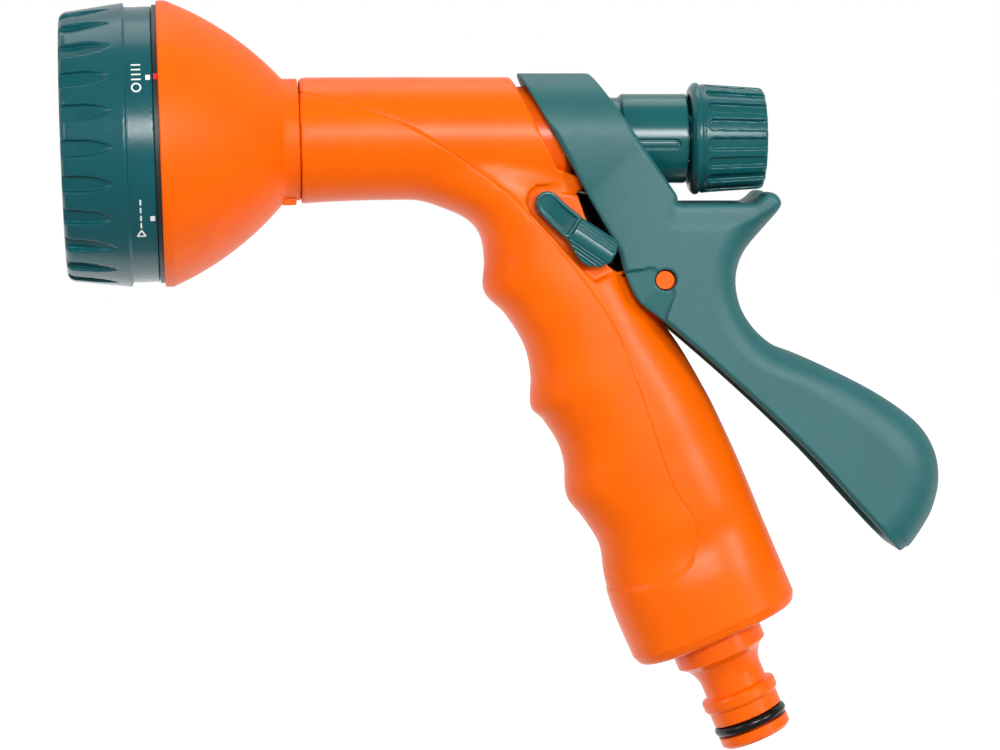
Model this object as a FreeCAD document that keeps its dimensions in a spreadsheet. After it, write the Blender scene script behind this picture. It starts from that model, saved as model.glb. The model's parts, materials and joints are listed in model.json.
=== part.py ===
import FreeCAD, Part
import math
import os
import Sketcher
from FreeCAD import Placement, Rotation, Vector

# Hose spray nozzle, in millimetres.
# +Z is up, the barrel lies along X and sprays towards -X, and the squeeze lever is at +X.
# The origin is the centre of the quick-connect nipple's shoulder ring, under the handle.

SIZES = {
    # frame
    "barrel_height": 122.9,
    "handle_lean": 23.15,
    "head_x": -99.0,
    "head_z": 122.7,
    "head_tilt": 1.8,
    "wall": 2.2,
    "play": 0.06,
    # barrel and handle shell
    "barrel_radius": 13.45,
    "barrel_bore": 11.6,
    "barrel_front": -97.7,
    "barrel_rear": -34.0,
    "cheek_seat": 11.5,
    "core_half": 9.3,
    "tube_way_radius": 7.45,
    "floor_level": 15.0,
    "floor_thick": 2.2,
    # hose connector, measured along its own axis, plus is towards the tip
    "nipple_tip": 10.2,
    "nipple_tip_radius": 8.03,
    "nipple_land_radius": 7.88,
    "nipple_bore": 4.6,
    "shoulder_radius": 8.6,
    "shoulder_half": 0.8,
    "waist_radius": 7.04,
    "waist_end": -4.9,
    "flange_radius": 10.3,
    "flange_start": -10.2,
    "collar_radius": 11.8,
    "socket_radius": 5.25,
    "socket_start": -14.0,
    "socket_end": -26.0,
    "oring_place": 6.1,
    "oring_wire": 1.1,
    "oring_outer": 8.37,
    # water tube
    "tube_radius": 5.2,
    "tube_bore": 4.2,
    "tube_end": -117.0,
    "tube_seal_wire": 0.9,
    "inlet_start": -111.0,
    "inlet_end": -122.5,
    "inlet_boss_radius": 7.05,
    # valve
    "chamber_front": -61.0,
    "seat_face": -57.0,
    "chamber_radius": 11.4,
    "chamber_rear": -38.2,
    "chamber_cavity": 8.4,
    "neck_radius": 7.9,
    "neck_cavity": 5.6,
    "neck_rear": -16.0,
    "gland_front": -23.0,
    "stem_radius": 2.6,
    "seat_bore": 4.6,
    "seat_radius": 7.5,
    "washer_radius": 6.6,
    "spring_seat": -46.0,
    "spring_radius": 4.2,
    "spring_wire": 0.45,
    "sleeve_radius": 9.8,
    "sleeve_nose_radius": 9.0,
    "sleeve_bore": 8.3,
    "sleeve_front": -34.0,
    "sleeve_step": -27.2,
    "sleeve_rear": -12.6,
    "ear_front": -33.7,
    "ear_length": 2.5,
    "ear_width": 2.7,
    "ear_height": 8.6,
    "ear_drop": 5.6,
    "slot_front": -23.8,
    "slot_length": 8.5,
    "slot_depth": 2.0,
    "slot_height": 2.1,
    "slot_drop": 2.1,
    # flow knob
    "knob_front": -11.9,
    "knob_rear": 4.7,
    "knob_radius": 12.3,
    "knob_rear_radius": 11.0,
    "knob_groove": 1.5,
    # lever
    "pivot_x": -18.3,
    "pivot_z": 92.4,
    "pin_radius": 1.95,
    "lever_half": 14.3,
    "lever_inner": 12.0,
    "lug_x": -35.6,
    "lug_radius": 1.6,
    "lug_length": 2.4,
    # lock clip
    "clip_x": -43.9,
    "clip_z": 108.9,
    "clip_pin": 2.0,
    "clip_inner": 12.0,
    "clip_outer": 16.6,
    "clip_arm_outer": 15.0,
    "clip_nose_radius": 2.9,
    "clip_boss_radius": 5.5,
    "clip_pocket_radius": 3.4,
    "clip_pocket_depth": 8.5,
    # spray head, measured along its own axis from the neck, minus is towards the spray
    "bell_rim_radius": 31.2,
    "bell_rim": -28.4,
    "bell_lip": -26.8,
    "bell_arc": 67.0,
    "neck_collar_radius": 13.65,
    "neck_collar_rear": 1.3,
    "neck_collar_front": -1.8,
    "spigot_radius": 11.1,
    "spigot_bore": 8.8,
    "spigot_rear": 12.0,
    "neck_groove_radius": 9.9,
    "neck_groove_front": 6.4,
    "neck_groove_rear": 8.4,
    "neck_seal_wire": 0.7,
    "base_ring_radius": 30.3,
    "base_face": -29.4,
    "hub_radius": 6.0,
    "hub_front": -40.0,
    "port_ring": 17.0,
    "port_radius": 4.5,
    "detent_ring": 23.0,
    "detent_depth": 7.2,
    "detent_radius": 1.15,
    "ball_radius": 1.5,
    "dial_rear": -29.6,
    "dial_band_radius": 29.95,
    "dial_step": -35.5,
    "dial_grip_radius": 30.9,
    "dial_nose_radius": 29.3,
    "dial_front": -49.5,
    "dial_lip_radius": 27.6,
    "face_radius": 25.7,
    "face_front": -48.0,
    "face_rear": -46.2,
    "plate_rear": -30.4,
    "plate_front": -32.6,
    "diverter_radius": 24.2,
    "diverter_wall": 1.3,
    "diverter_hub_length": 7.1,
    "flute_radius": 2.6,
    "flute_slope": 14.4,
}

FLUTES = 24
KNOB_GROOVES = 17
PATTERNS = 6

# Handle shell: (height along the handle, front edge, back edge, half depth).
HANDLE_SECTIONS = [
    (14.4, -15.2, 16.8, 12.4),
    (16.2, -17.3, 19.0, 14.3),
    (18.4, -18.5, 19.9, 15.0),
    (24.0, -18.6, 19.9, 15.2),
    (31.0, -18.3, 19.9, 15.2),
    (37.5, -17.1, 19.95, 15.1),
    (44.2, -15.7, 20.0, 14.9),
    (50.0, -16.7, 20.0, 14.9),
    (55.8, -18.1, 19.8, 14.9),
    (62.4, -15.9, 19.5, 14.8),
    (67.5, -15.3, 19.0, 14.7),
    (73.4, -16.3, 18.3, 14.6),
    (77.2, -17.6, 17.7, 14.6),
    (83.6, -14.9, 16.4, 14.4),
    (90.2, -13.7, 15.8, 14.2),
    (97.9, -14.8, 14.9, 14.0),
    (104.5, -17.1, 13.6, 13.8),
    (110.5, -14.5, 12.4, 13.6),
    (116.0, -13.1, 10.0, 13.4),
    (121.1, -14.2, 6.6, 13.0),
    (125.5, -16.5, 2.0, 11.8),
    (132.0, -18.5, -6.0, 9.0),
]
HANDLE_SQUARENESS = 2.3
BEYOND = 30.0  # reaches past either side of the nozzle
CLIP_FLOOR_GAP = 0.3
HOLLOW_SECTIONS = [(11.0, -15.2, 16.8, 12.4)] + HANDLE_SECTIONS[1:-2]

# Parting line between the front grip cover and the housing, from the barrel to the grip's foot.
PARTING_LINE = [
    (-98.8, 133.3),
    (-88.8, 131.2),
    (-75.9, 126.9),
    (-63.0, 119.1),
    (-51.9, 110.9),
    (-43.4, 101.6),
    (-34.7, 90.8),
    (-27.6, 78.8),
    (-21.5, 62.0),
    (-16.5, 47.6),
    (-12.4, 41.3),
    (-11.1, 36.6),
    (-13.1, 29.6),
    (-21.3, 25.3),
    (-31.8, 23.6),
]

# Everything behind this line is cut away to bare the valve chamber.
BARREL_REAR_CUT = [(-52.0, 138.0), (-39.9, 113.3), (-37.3, 111.3), (-9.0, 111.3), (-9.0, 138.0)]
# The housing is narrowed behind this line, so that the lever's cheeks straddle it.
CHEEK_SEAT = [
    (-39.1, 114.3),
    (-37.4, 111.9),
    (-32.1, 103.7),
    (-28.3, 94.3),
    (-25.3, 87.6),
    (-20.7, 83.3),
    (1.3, 62.6),
    (22.0, 62.6),
    (22.0, 114.3),
]
CLIP_RECESS = [
    (-48.1, 108.6),
    (-46.1, 112.3),
    (-40.6, 113.7),
    (-31.3, 104.4),
    (-26.9, 95.1),
    (-30.8, 92.2),
    (-35.5, 92.6),
    (-39.9, 97.9),
    (-47.3, 105.4),
]
PIVOT_BLOCK = [
    (-46.3, 111.1),
    (-31.5, 111.1),
    (-15.0, 100.0),
    (-12.5, 94.5),
    (-13.1, 88.5),
    (-18.5, 81.0),
    (-35.3, 86.5),
]

LEVER_PALM = [
    (37.3, 35.1),
    (42.0, 41.8),
    (43.3, 48.2),
    (42.1, 55.0),
    (37.7, 61.2),
    (27.9, 68.0),
    (14.4, 74.7),
    (5.5, 78.4),
    (-0.1, 84.4),
    (-2.1, 91.4),
    (-0.6, 97.9),
    (6.6, 107.4),
]
LEVER_WEB = [
    (0.5, 108.0),
    (-3.2, 100.1),
    (-4.6, 91.4),
    (-2.4, 83.0),
    (4.0, 76.4),
    (13.3, 72.4),
    (26.8, 65.6),
    (35.7, 59.4),
    (39.9, 53.7),
    (40.7, 48.1),
    (38.5, 41.4),
    (33.9, 36.6),
]

doc = FreeCAD.newDocument("HoseSprayNozzle")
sheet = doc.addObject("Spreadsheet::Sheet", "Sizes")
for row, (alias, amount) in enumerate(SIZES.items(), start=1):
    sheet.set(f"A{row}", alias)
    sheet.set(f"B{row}", str(amount))
    sheet.setAlias(f"B{row}", alias)
doc.recompute()


class Size:
    """A length together with the sheet formula that gives it."""

    def __init__(self, value, formula):
        self.value = value
        self.formula = formula

    def __float__(self):
        return float(self.value)

    def __neg__(self):
        return Size(-self.value, f"-({self.formula})")

    def __add__(self, other):
        return Size(self.value + float(other), f"{self.formula} + {formula_of(other)}")

    def __sub__(self, other):
        return Size(self.value - float(other), f"{self.formula} - ({formula_of(other)})")

    def __mul__(self, factor):
        return Size(self.value * factor, f"({self.formula}) * {factor}")


def formula_of(length):
    return length.formula if isinstance(length, Size) else str(length)


def size(alias):
    return Size(sheet.get(alias), f"{sheet.Name}.{alias}")


def bind(target, prop, length):
    """Sets a property to a length, and keeps it bound to the sheet."""
    target.setExpression(prop, formula_of(length))


VALVE = Placement(Vector(0, 0, float(size("barrel_height"))), Rotation())
HANDLE = Placement(Vector(), Rotation(Vector(0, 1, 0), 90 - float(size("handle_lean"))))
HEAD = Placement(
    Vector(float(size("head_x")), 0, float(size("head_z"))),
    Rotation(Vector(0, 1, 0), -float(size("head_tilt"))),
)
nodes = {}


def keep(label, made):
    """Names a finished sub-part."""
    made.Label = label
    nodes[label] = made
    return made


# ---------------------------------------------------------------- building blocks


def origin_item(body, role):
    return next(item for item in body.Origin.OriginFeatures if item.Role == role)


def new_body(name, place):
    body = doc.addObject("PartDesign::Body", name)
    body.Placement = place
    return body


def arc_through(start, end, radius):
    """Arc of the given radius between two points; a negative radius bulges to the other side."""
    chord = end - start
    half = chord.Length / 2
    sagitta = abs(radius) - math.sqrt(radius**2 - half**2)
    side = Vector(-chord.y, chord.x, 0).normalize() * math.copysign(sagitta, radius)
    return Part.Arc(start, start + chord * 0.5 + side, end)


def pin_point(sketch, geometry, end, point):
    """Fixes one end of an edge at sheet-driven coordinates."""
    for kind, length, axis in (("DistanceX", point[0], -2), ("DistanceY", point[1], -1)):
        if abs(float(length)) < 1e-9:
            sketch.addConstraint(Sketcher.Constraint("PointOnObject", geometry, end, axis))
            continue
        made = sketch.addConstraint(
            Sketcher.Constraint(kind, -1, 1, geometry, end, float(length))
        )
        if isinstance(length, Size):
            sketch.setExpression(f"Constraints[{made}]", length.formula)


def outline(body, name, points, plane="XZ_Plane"):
    """Closed sketch. A point is (x, z), or (x, z, radius) where an arc arrives at it."""
    sketch = body.newObject("Sketcher::SketchObject", name)
    sketch.AttachmentSupport = (origin_item(body, plane), [""])
    sketch.MapMode = "FlatFace"
    corners = [Vector(float(point[0]), float(point[1]), 0) for point in points]
    ends = []
    for index, corner in enumerate(corners):
        target = (index + 1) % len(corners)
        goal = corners[target]
        if len(points[target]) == 3:
            arc = arc_through(corner, goal, points[target][2])
            made = sketch.addGeometry(arc, False)
            flipped = sketch.getPoint(made, 1).distanceToPoint(corner) > 1e-4
            ends.append((made, 2, 1) if flipped else (made, 1, 2))
            sketch.addConstraint(Sketcher.Constraint("Radius", made, abs(points[target][2])))
        else:
            made = sketch.addGeometry(Part.LineSegment(corner, goal), False)
            ends.append((made, 1, 2))
    for index, (made, first, _) in enumerate(ends):
        before, _, last = ends[index - 1]
        sketch.addConstraint(Sketcher.Constraint("Coincident", before, last, made, first))
        pin_point(sketch, made, first, points[index])
    return sketch


def revolve(body, name, points):
    """Solid turned about the body's own X axis."""
    sketch = outline(body, f"{name}Outline", points)
    turned = body.newObject("PartDesign::Revolution", name)
    turned.Profile = sketch
    turned.ReferenceAxis = (sketch, ["H_Axis"])
    turned.Angle = 360
    body.Tip = turned
    return turned


def turned_part(label, place, points):
    """One turned sub-part."""
    body = new_body(label.title().replace("_", ""), place)
    revolve(body, "Turned" + body.Name, points)
    return keep(label, body)


def groove_row(body, kind, name, count, place, **sizes):
    """Cuts one primitive and repeats the cut round the body's X axis."""
    cut = body.newObject(f"PartDesign::Subtractive{kind}", name)
    for prop, length in sizes.items():
        bind(cut, prop, length)
    cut.Placement = place
    body.Tip = cut
    if count > 1:
        row = body.newObject("PartDesign::PolarPattern", f"{name}Row")
        row.Originals = [cut]
        row.Axis = (origin_item(body, "X_Axis"), [""])
        row.Angle = 360
        row.Occurrences = count
        body.Tip = row
    return cut


def along_x(x, z=0.0, y=0.0):
    """Placement of a primitive whose own Z axis is turned to lie along X."""
    return Placement(Vector(float(x), float(y), float(z)), Rotation(Vector(0, 1, 0), 90))


def along_y(x, y, z):
    """Placement of a primitive whose own Z axis is turned to lie along Y."""
    return Placement(Vector(float(x), float(y), float(z)), Rotation(Vector(1, 0, 0), -90))


def cylinder(name, radius, height, place):
    made = doc.addObject("Part::Cylinder", name)
    bind(made, "Radius", radius)
    bind(made, "Height", height)
    made.Placement = place
    return made


def ring(label, major, minor, place):
    """An O-ring whose axis lies along the placement's own X axis."""
    made = doc.addObject("Part::Torus", label.title().replace("_", ""))
    bind(made, "Radius1", major)
    bind(made, "Radius2", minor)
    made.Placement = place.multiply(along_x(0))
    return made


def shifted(place, x):
    return place.multiply(Placement(Vector(float(x), 0, 0), Rotation()))


def cut_of(name, base, tools):
    """Base minus the tools, as one document object."""
    tool = tools[0]
    if len(tools) > 1:
        tool = doc.addObject("Part::MultiFuse", f"{name}Tools")
        tool.Shapes = tools
    made = doc.addObject("Part::Cut", name)
    made.Base = base
    made.Tool = tool
    return made


def fuse_of(name, shapes):
    made = doc.addObject("Part::MultiFuse", name)
    made.Shapes = shapes
    return made


def common_of(name, shapes):
    made = doc.addObject("Part::MultiCommon", name)
    made.Shapes = shapes
    return made


def feature(name, shape):
    made = doc.addObject("Part::Feature", name)
    made.Shape = shape
    return made


def side_wire(spans):
    """Closed wire in the XZ plane. A span of two points is a line, a longer one a smooth curve."""
    edges = []
    for span in spans:
        points = [Vector(x, 0, z) for x, z in span]
        if len(points) == 2:
            edges.append(Part.makeLine(*points))
        else:
            curve = Part.BSplineCurve()
            curve.interpolate(points)
            edges.append(curve.toShape())
    return Part.Wire(edges)


def slab(wire, low, high):
    """Prism over a side-view wire, from y = low to y = high."""
    face = Part.Face(wire)
    face.translate(Vector(0, low, 0))
    return face.extrude(Vector(0, high - low, 0))


def polygon_slab(points, low, high):
    spans = [(points[index - 1], points[index]) for index in range(len(points))]
    return slab(side_wire(spans), low, high)


def coil_spring(label, radius, wire, length, turns, place):
    """Round-wire spring that starts at the placement and runs along its own X axis."""
    helix = Part.makeHelix(float(length) / turns, float(length), float(radius))
    profile = Part.Wire(
        Part.makeCircle(float(wire), Vector(float(radius), 0, 0), Vector(0, 1, 0))
    )
    coil = Part.Wire(helix).makePipeShell([profile], True, True)
    made = feature(label.title().replace("_", ""), coil)
    made.Placement = place.multiply(along_x(0))
    return keep(label, made)


# ---------------------------------------------------------------- barrel and handle shells


def handle_section(height, front, back, half_depth, inset):
    """Closed rounded section across the handle, in the handle's own frame."""
    middle = (front + back) / 2
    half_width = (back - front) / 2 - inset
    half_depth = half_depth - inset
    power = 2 / HANDLE_SQUARENESS
    points = []
    for step in range(24):
        angle = 2 * math.pi * step / 24
        across = math.copysign(abs(math.cos(angle)) ** power, math.cos(angle))
        deep = math.copysign(abs(math.sin(angle)) ** power, math.sin(angle))
        points.append(Vector(-height, half_depth * deep, middle + half_width * across))
    curve = Part.BSplineCurve()
    curve.interpolate(points, PeriodicFlag=True)
    return Part.Wire(curve.toShape())


def handle_loft(sections, inset):
    wires = [handle_section(*section, inset) for section in sections]
    solid = Part.makeLoft(wires, True, False)
    solid.Placement = HANDLE
    return solid


def shell_solid():
    """The joined barrel and handle, hollowed, before it is parted."""
    wall = float(size("wall"))
    core = float(size("core_half"))
    seat = float(size("cheek_seat"))
    front = float(size("barrel_front")) - wall
    length = float(size("barrel_rear")) - front
    start = Vector(front, 0, float(size("barrel_height")))
    ahead = Vector(1, 0, 0)
    barrel = Part.makeCylinder(float(size("barrel_radius")), length, start, ahead)
    bore = Part.makeCylinder(float(size("barrel_bore")), length, start, ahead)

    hollow = handle_loft(HOLLOW_SECTIONS, wall)
    for side in (-1, 1):
        low, high = sorted((side * core, side * BEYOND))
        thick = polygon_slab([(-56, 78), (-56, 130), (20, 130), (20, 78)], low, high)
        hollow = hollow.cut(thick)

    solid = barrel.fuse(handle_loft(HANDLE_SECTIONS, 0.0))
    solid = solid.cut(bore).cut(hollow)
    block = polygon_slab(PIVOT_BLOCK, -seat, seat)
    clip_floor = -float(size("clip_inner")) + CLIP_FLOOR_GAP
    core_side = clip_floor + 3.3
    boss = across(size("clip_boss_radius"), clip_centre(clip_floor - 0.4), core_side)
    solid = solid.fuse(block).fuse(boss)

    tube_way = Part.makeCylinder(float(size("tube_way_radius")), 60)
    tube_way.Placement = HANDLE.multiply(along_x(size("inlet_end") - 3.0))
    tools = [tube_way, bore, polygon_slab(BARREL_REAR_CUT, -BEYOND, BEYOND)]
    tools.append(polygon_slab(CHEEK_SEAT, seat, BEYOND))
    tools.append(polygon_slab(CHEEK_SEAT, -BEYOND, -seat))
    tools.append(polygon_slab(CLIP_RECESS, -BEYOND, clip_floor))
    nose_end = float(size("neck_collar_rear"))
    nose = Part.makeBox(20, 2 * BEYOND, 2 * BEYOND, Vector(nose_end - 20, -BEYOND, -BEYOND))
    nose.Placement = HEAD
    tools.append(nose)
    tools.append(across(size("pin_radius"), pivot_centre(-BEYOND), BEYOND))
    tools.append(across(size("clip_pin") + size("play"), clip_centre(-BEYOND), 0.0))
    pocket = -float(size("clip_pocket_depth"))
    tools.append(across(size("clip_pocket_radius"), clip_centre(pocket), 0.0))
    for tool in tools:
        solid = solid.cut(tool)
    return solid


def across(radius, start, end_y):
    """Round bar along Y, from the start point to the given y."""
    return Part.makeCylinder(float(radius), end_y - start[1], Vector(*start), Vector(0, 1, 0))


def pivot_centre(y):
    return float(size("pivot_x")), y, float(size("pivot_z"))


def clip_centre(y):
    return float(size("clip_x")), y, float(size("clip_z"))


def largest_solid(shape):
    return max(shape.Solids, key=lambda solid: solid.Volume)


def make_shells():
    """Housing and front cover, parted along the line that is seen on both sides."""
    whole = shell_solid()
    first = PARTING_LINE[0]
    last = PARTING_LINE[-1]
    corner = (-110.0, last[1])
    front_side = side_wire(
        [PARTING_LINE, (last, corner), (corner, (-110.0, first[1])), ((-110.0, first[1]), first)]
    )
    front_prism = slab(front_side, -40, 40)
    keep("body_housing", feature("BodyHousing", largest_solid(whole.cut(front_prism))))
    keep("grip_cover", feature("GripCover", largest_solid(whole.common(front_prism))))


def make_end_cap():
    """Floor plate of the handle, with the hole that the connector passes."""
    level = float(size("floor_level"))
    thick = float(size("floor_thick"))
    corner = Vector(-level - thick, -BEYOND, -BEYOND)
    slice_box = Part.makeBox(thick, 2 * BEYOND, 2 * BEYOND, corner)
    slice_box.Placement = HANDLE
    plate = handle_loft(HOLLOW_SECTIONS, float(size("wall"))).common(slice_box)
    place = HANDLE.multiply(along_x(-level - 2 * thick))
    hole = cylinder("EndCapHole", size("flange_radius"), 3 * thick, place)
    keep("handle_end_cap", cut_of("HandleEndCap", feature("EndCapPlate", plate), [hole]))


# ---------------------------------------------------------------- hose connector and water tube


def make_connector():
    tip = size("nipple_tip")
    bore = size("nipple_bore")
    tip_radius = size("nipple_tip_radius")
    floor = size("oring_outer") - size("oring_wire") * 2
    land = size("nipple_land_radius")
    shoulder = size("shoulder_radius")
    half = size("shoulder_half")
    waist = size("waist_radius")
    flange = size("flange_radius")
    start = size("flange_start")
    collar = size("collar_radius")
    inside = -(size("floor_level") + size("floor_thick"))
    socket = size("socket_radius")
    groove_low = size("oring_place") - 1.4
    groove_high = size("oring_place") + 1.4
    turned_part(
        "hose_connector",
        HANDLE,
        [
            (tip, bore),
            (tip, tip_radius - 0.7),
            (tip - 0.7, tip_radius),
            (groove_high, tip_radius),
            (groove_high, floor),
            (groove_low, floor),
            (groove_low, land),
            (half + 0.9, land),
            (half + 0.5, shoulder - 0.25),
            (half, shoulder),
            (-half, shoulder),
            (-half - 0.5, shoulder - 0.25),
            (-half - 1.0, waist),
            (size("waist_end"), waist),
            (start + 1.3, shoulder, 7.5),
            (start, flange),
            (inside, flange),
            (inside, collar),
            (inside - 2.3, collar),
            (inside - 2.3, socket + 2.0),
            (size("socket_end"), socket + 2.0),
            (size("socket_end"), socket),
            (size("socket_start"), socket),
            (size("socket_start"), bore),
        ],
    )
    wire = size("oring_wire")
    place = shifted(HANDLE, size("oring_place"))
    keep("connector_oring", ring("connector_oring", size("oring_outer") - wire, wire, place))


def make_water_tube():
    radius = size("tube_radius")
    bore = size("tube_bore")
    start = size("socket_start")
    end = size("tube_end")
    turned_part(
        "water_tube", HANDLE, [(start, bore), (start, radius), (end, radius), (end, bore)]
    )
    wire = size("tube_seal_wire")
    lower = ring("tube_seal_low", radius + wire, wire, shifted(HANDLE, size("socket_end") - wire))
    upper = ring("tube_seal_top", radius + wire, wire, shifted(HANDLE, size("inlet_start") + wire))
    keep("tube_orings", fuse_of("TubeOrings", [lower, upper]))


# ---------------------------------------------------------------- valve


def make_chamber():
    """Valve chamber with its rear neck, and the socket that takes the water tube."""
    front = size("chamber_front")
    face = size("seat_face")
    radius = size("chamber_radius")
    rear = size("chamber_rear")
    neck = size("neck_radius")
    end = size("neck_rear")
    shaft = size("stem_radius") + size("play")
    gland = size("gland_front")
    inner = size("neck_cavity")
    cavity = size("chamber_cavity")
    seat = size("seat_radius")
    body = new_body("ValveChamberTurned", VALVE)
    revolve(
        body,
        "ChamberTurned",
        [
            (front, seat),
            (front, size("barrel_bore")),
            (face, size("barrel_bore")),
            (face + 0.5, radius),
            (rear - 1.5, radius),
            (rear, radius - 1.5),
            (rear, neck),
            (end, neck),
            (end, shaft),
            (gland + 4.2, shaft),
            (gland + 4.2, shaft + 1.3),
            (gland + 2.2, shaft + 1.3),
            (gland + 2.2, shaft),
            (gland, shaft),
            (gland, inner),
            (rear - 2.0, inner),
            (rear - 2.0, cavity),
            (face, cavity),
            (face, seat),
        ],
    )
    start = size("inlet_start")
    end = size("inlet_end")
    deep = size("tube_end")
    outer = cylinder("InletBoss", size("inlet_boss_radius"), start - end, inlet_place(end))
    socket = cylinder("InletSocket", size("socket_radius"), start - deep, inlet_place(deep))
    way = cylinder("InletWay", size("tube_bore"), start - end + 4.5, inlet_place(end - 4.0))
    clear = cylinder("ChamberClear", cavity, 15, VALVE.multiply(along_x(face + 1.0)))
    joined = fuse_of("ChamberJoined", [body, outer])
    keep("valve_chamber", cut_of("ValveChamber", joined, [socket, way, clear]))
    turned_part(
        "valve_seat",
        VALVE,
        [
            (front, size("seat_bore")),
            (front, seat),
            (face, seat),
            (face, size("seat_bore") + 0.6),
            (face - 0.5, size("seat_bore")),
        ],
    )
    seal = 0.64
    keep(
        "gland_oring",
        ring("gland_oring", shaft + seal, seal, shifted(VALVE, gland + 3.2)),
    )


def inlet_place(start):
    return HANDLE.multiply(along_x(start))


def make_stem():
    shaft = size("stem_radius")
    face = size("seat_face")
    flange = size("spring_seat")
    turned_part(
        "valve_stem",
        VALVE,
        [
            (face - 1.2, 0.0),
            (face - 1.2, 1.2),
            (face - 0.6, 1.6),
            (face + 2.0, 1.6),
            (face + 2.0, 6.2),
            (face + 3.4, 6.2),
            (face + 3.4, shaft),
            (flange - 1.4, shaft),
            (flange - 1.4, 5.2),
            (flange, 5.2),
            (flange, shaft),
            (2.0, shaft),
            (2.0, 0.0),
        ],
    )
    turned_part(
        "valve_washer",
        VALVE,
        [
            (face + 0.05, 1.6),
            (face + 0.05, size("washer_radius")),
            (face + 2.0, size("washer_radius")),
            (face + 2.0, 1.6),
        ],
    )
    wire = size("spring_wire")
    travel = size("gland_front") - float(flange) - float(wire) * 2
    coil_spring(
        "return_spring", size("spring_radius"), wire, travel, 8, shifted(VALVE, flange + wire)
    )


def make_sleeve():
    """Sleeve that the lever pulls back, with its two ears and its side slots."""
    nose = size("sleeve_nose_radius")
    radius = size("sleeve_radius")
    bore = size("sleeve_bore")
    step = size("sleeve_step")
    rear = size("sleeve_rear")
    body = new_body("PullSleeveTurned", VALVE)
    revolve(
        body,
        "SleeveTurned",
        [
            (size("sleeve_front"), bore),
            (size("sleeve_front"), nose),
            (step, nose),
            (step + 0.8, radius),
            (rear, radius),
            (rear, size("stem_radius")),
            (rear - 1.8, size("stem_radius")),
            (rear - 1.8, bore),
        ],
    )
    level = size("barrel_height")
    parts = [body]
    cuts = []
    for side, name in ((-1, "Near"), (1, "Far")):
        ear = doc.addObject("Part::Box", f"SleeveEar{name}")
        bind(ear, "Length", size("ear_length"))
        bind(ear, "Width", size("ear_width"))
        bind(ear, "Height", size("ear_height"))
        ear_side = nose - 0.5 if side > 0 else -(nose - 0.5 + size("ear_width"))
        ear.Placement = Placement(
            Vector(float(size("ear_front")), float(ear_side), float(level - size("ear_drop"))),
            Rotation(),
        )
        parts.append(ear)
        slot = doc.addObject("Part::Box", f"SleeveSlot{name}")
        bind(slot, "Length", size("slot_length"))
        bind(slot, "Width", size("slot_depth"))
        bind(slot, "Height", size("slot_height"))
        slot_side = radius - 0.8 if side > 0 else -(radius - 0.8 + size("slot_depth"))
        slot.Placement = Placement(
            Vector(float(size("slot_front")), float(slot_side), float(level - size("slot_drop"))),
            Rotation(),
        )
        cuts.append(slot)
    keep("pull_sleeve", cut_of("PullSleeve", fuse_of("SleeveEared", parts), cuts))


def make_knob():
    """Flow knob: a cup with a hub, a smooth front shoulder and long grooves."""
    front = size("knob_front")
    rear = size("knob_rear")
    radius = size("knob_radius")
    rear_radius = size("knob_rear_radius")
    hub = size("stem_radius") + size("play")
    body = new_body("FlowKnob", VALVE)
    revolve(
        body,
        "KnobTurned",
        [
            (front, hub),
            (front, hub + 2.4),
            (rear - 2.0, hub + 2.4),
            (rear - 2.0, rear_radius - 2.0),
            (front, radius - 2.4),
            (front, radius - 1.0),
            (front + 1.0, radius, 1.0),
            (front + 2.2, radius),
            (front + 2.6, radius - 0.3),
            (rear - 1.1, rear_radius),
            (rear, rear_radius - 1.0, 1.4),
            (rear, 0.0),
            (rear - 2.3, 0.0),
            (rear - 2.3, hub),
        ],
    )
    groove = size("knob_groove")
    taper = -math.degrees(math.atan2(0.8, 12.2))
    place = Placement(
        Vector(float(front) + 3.6, 0, float(radius) + 0.3), Rotation(Vector(0, 1, 0), 90 - taper)
    )
    groove_row(body, "Cylinder", "KnobGroove", KNOB_GROOVES, place, Radius=groove, Height=20)
    keep("flow_knob", body)


# ---------------------------------------------------------------- lever and lock clip


def rounded_bar(half, low, name):
    """Long bar along X with an upright lower part and a round top, coaxial with the barrel."""
    height = float(size("barrel_height"))
    tube = cylinder(f"{name}Round", half, 130, VALVE.multiply(along_x(-70)))
    leg = doc.addObject("Part::Box", f"{name}Leg")
    bind(leg, "Length", 130)
    bind(leg, "Width", half * 2)
    bind(leg, "Height", height - low)
    leg.Placement = Placement(Vector(-70, -float(half), low), Rotation())
    return fuse_of(f"{name}Bar", [tube, leg])


def lever_outline():
    front_top = (-50.6, 138.5)
    shoulder = (-31.1, 103.8)
    knee = (-27.1, 94.4)
    heel = (-24.1, 88.0)
    chin = (-19.6, 84.4)
    toe = (33.4, 32.8)
    horn_top = (3.6, 111.7)
    horn_foot = (0.2, 110.4)
    crook = (-15.1, 110.4)
    ring_rear = (-33.2, 136.0)
    rear_top = (-35.2, 138.5)
    return side_wire(
        [
            (front_top, shoulder),
            (shoulder, knee),
            (knee, heel),
            (heel, chin),
            (chin, (-1.9, 69.1), (15.8, 52.2), toe),
            (toe, (35.5, 33.0), LEVER_PALM[0]),
            LEVER_PALM,
            (LEVER_PALM[-1], (7.2, 109.2), (6.1, 110.8), horn_top),
            (horn_top, horn_foot),
            (horn_foot, crook),
            (crook, ring_rear),
            (ring_rear, rear_top),
            (rear_top, front_top),
        ]
    )


def lever_hollow_outline():
    web_end = LEVER_WEB[-1]
    web_start = LEVER_WEB[0]
    corners = [
        web_end,
        (30.0, 28.0),
        (-70.0, 28.0),
        (-70.0, 140.0),
        (-13.0, 140.0),
        (-13.0, 111.0),
        (-15.0, 108.0),
        web_start,
    ]
    return side_wire([LEVER_WEB] + list(zip(corners, corners[1:])))


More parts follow.
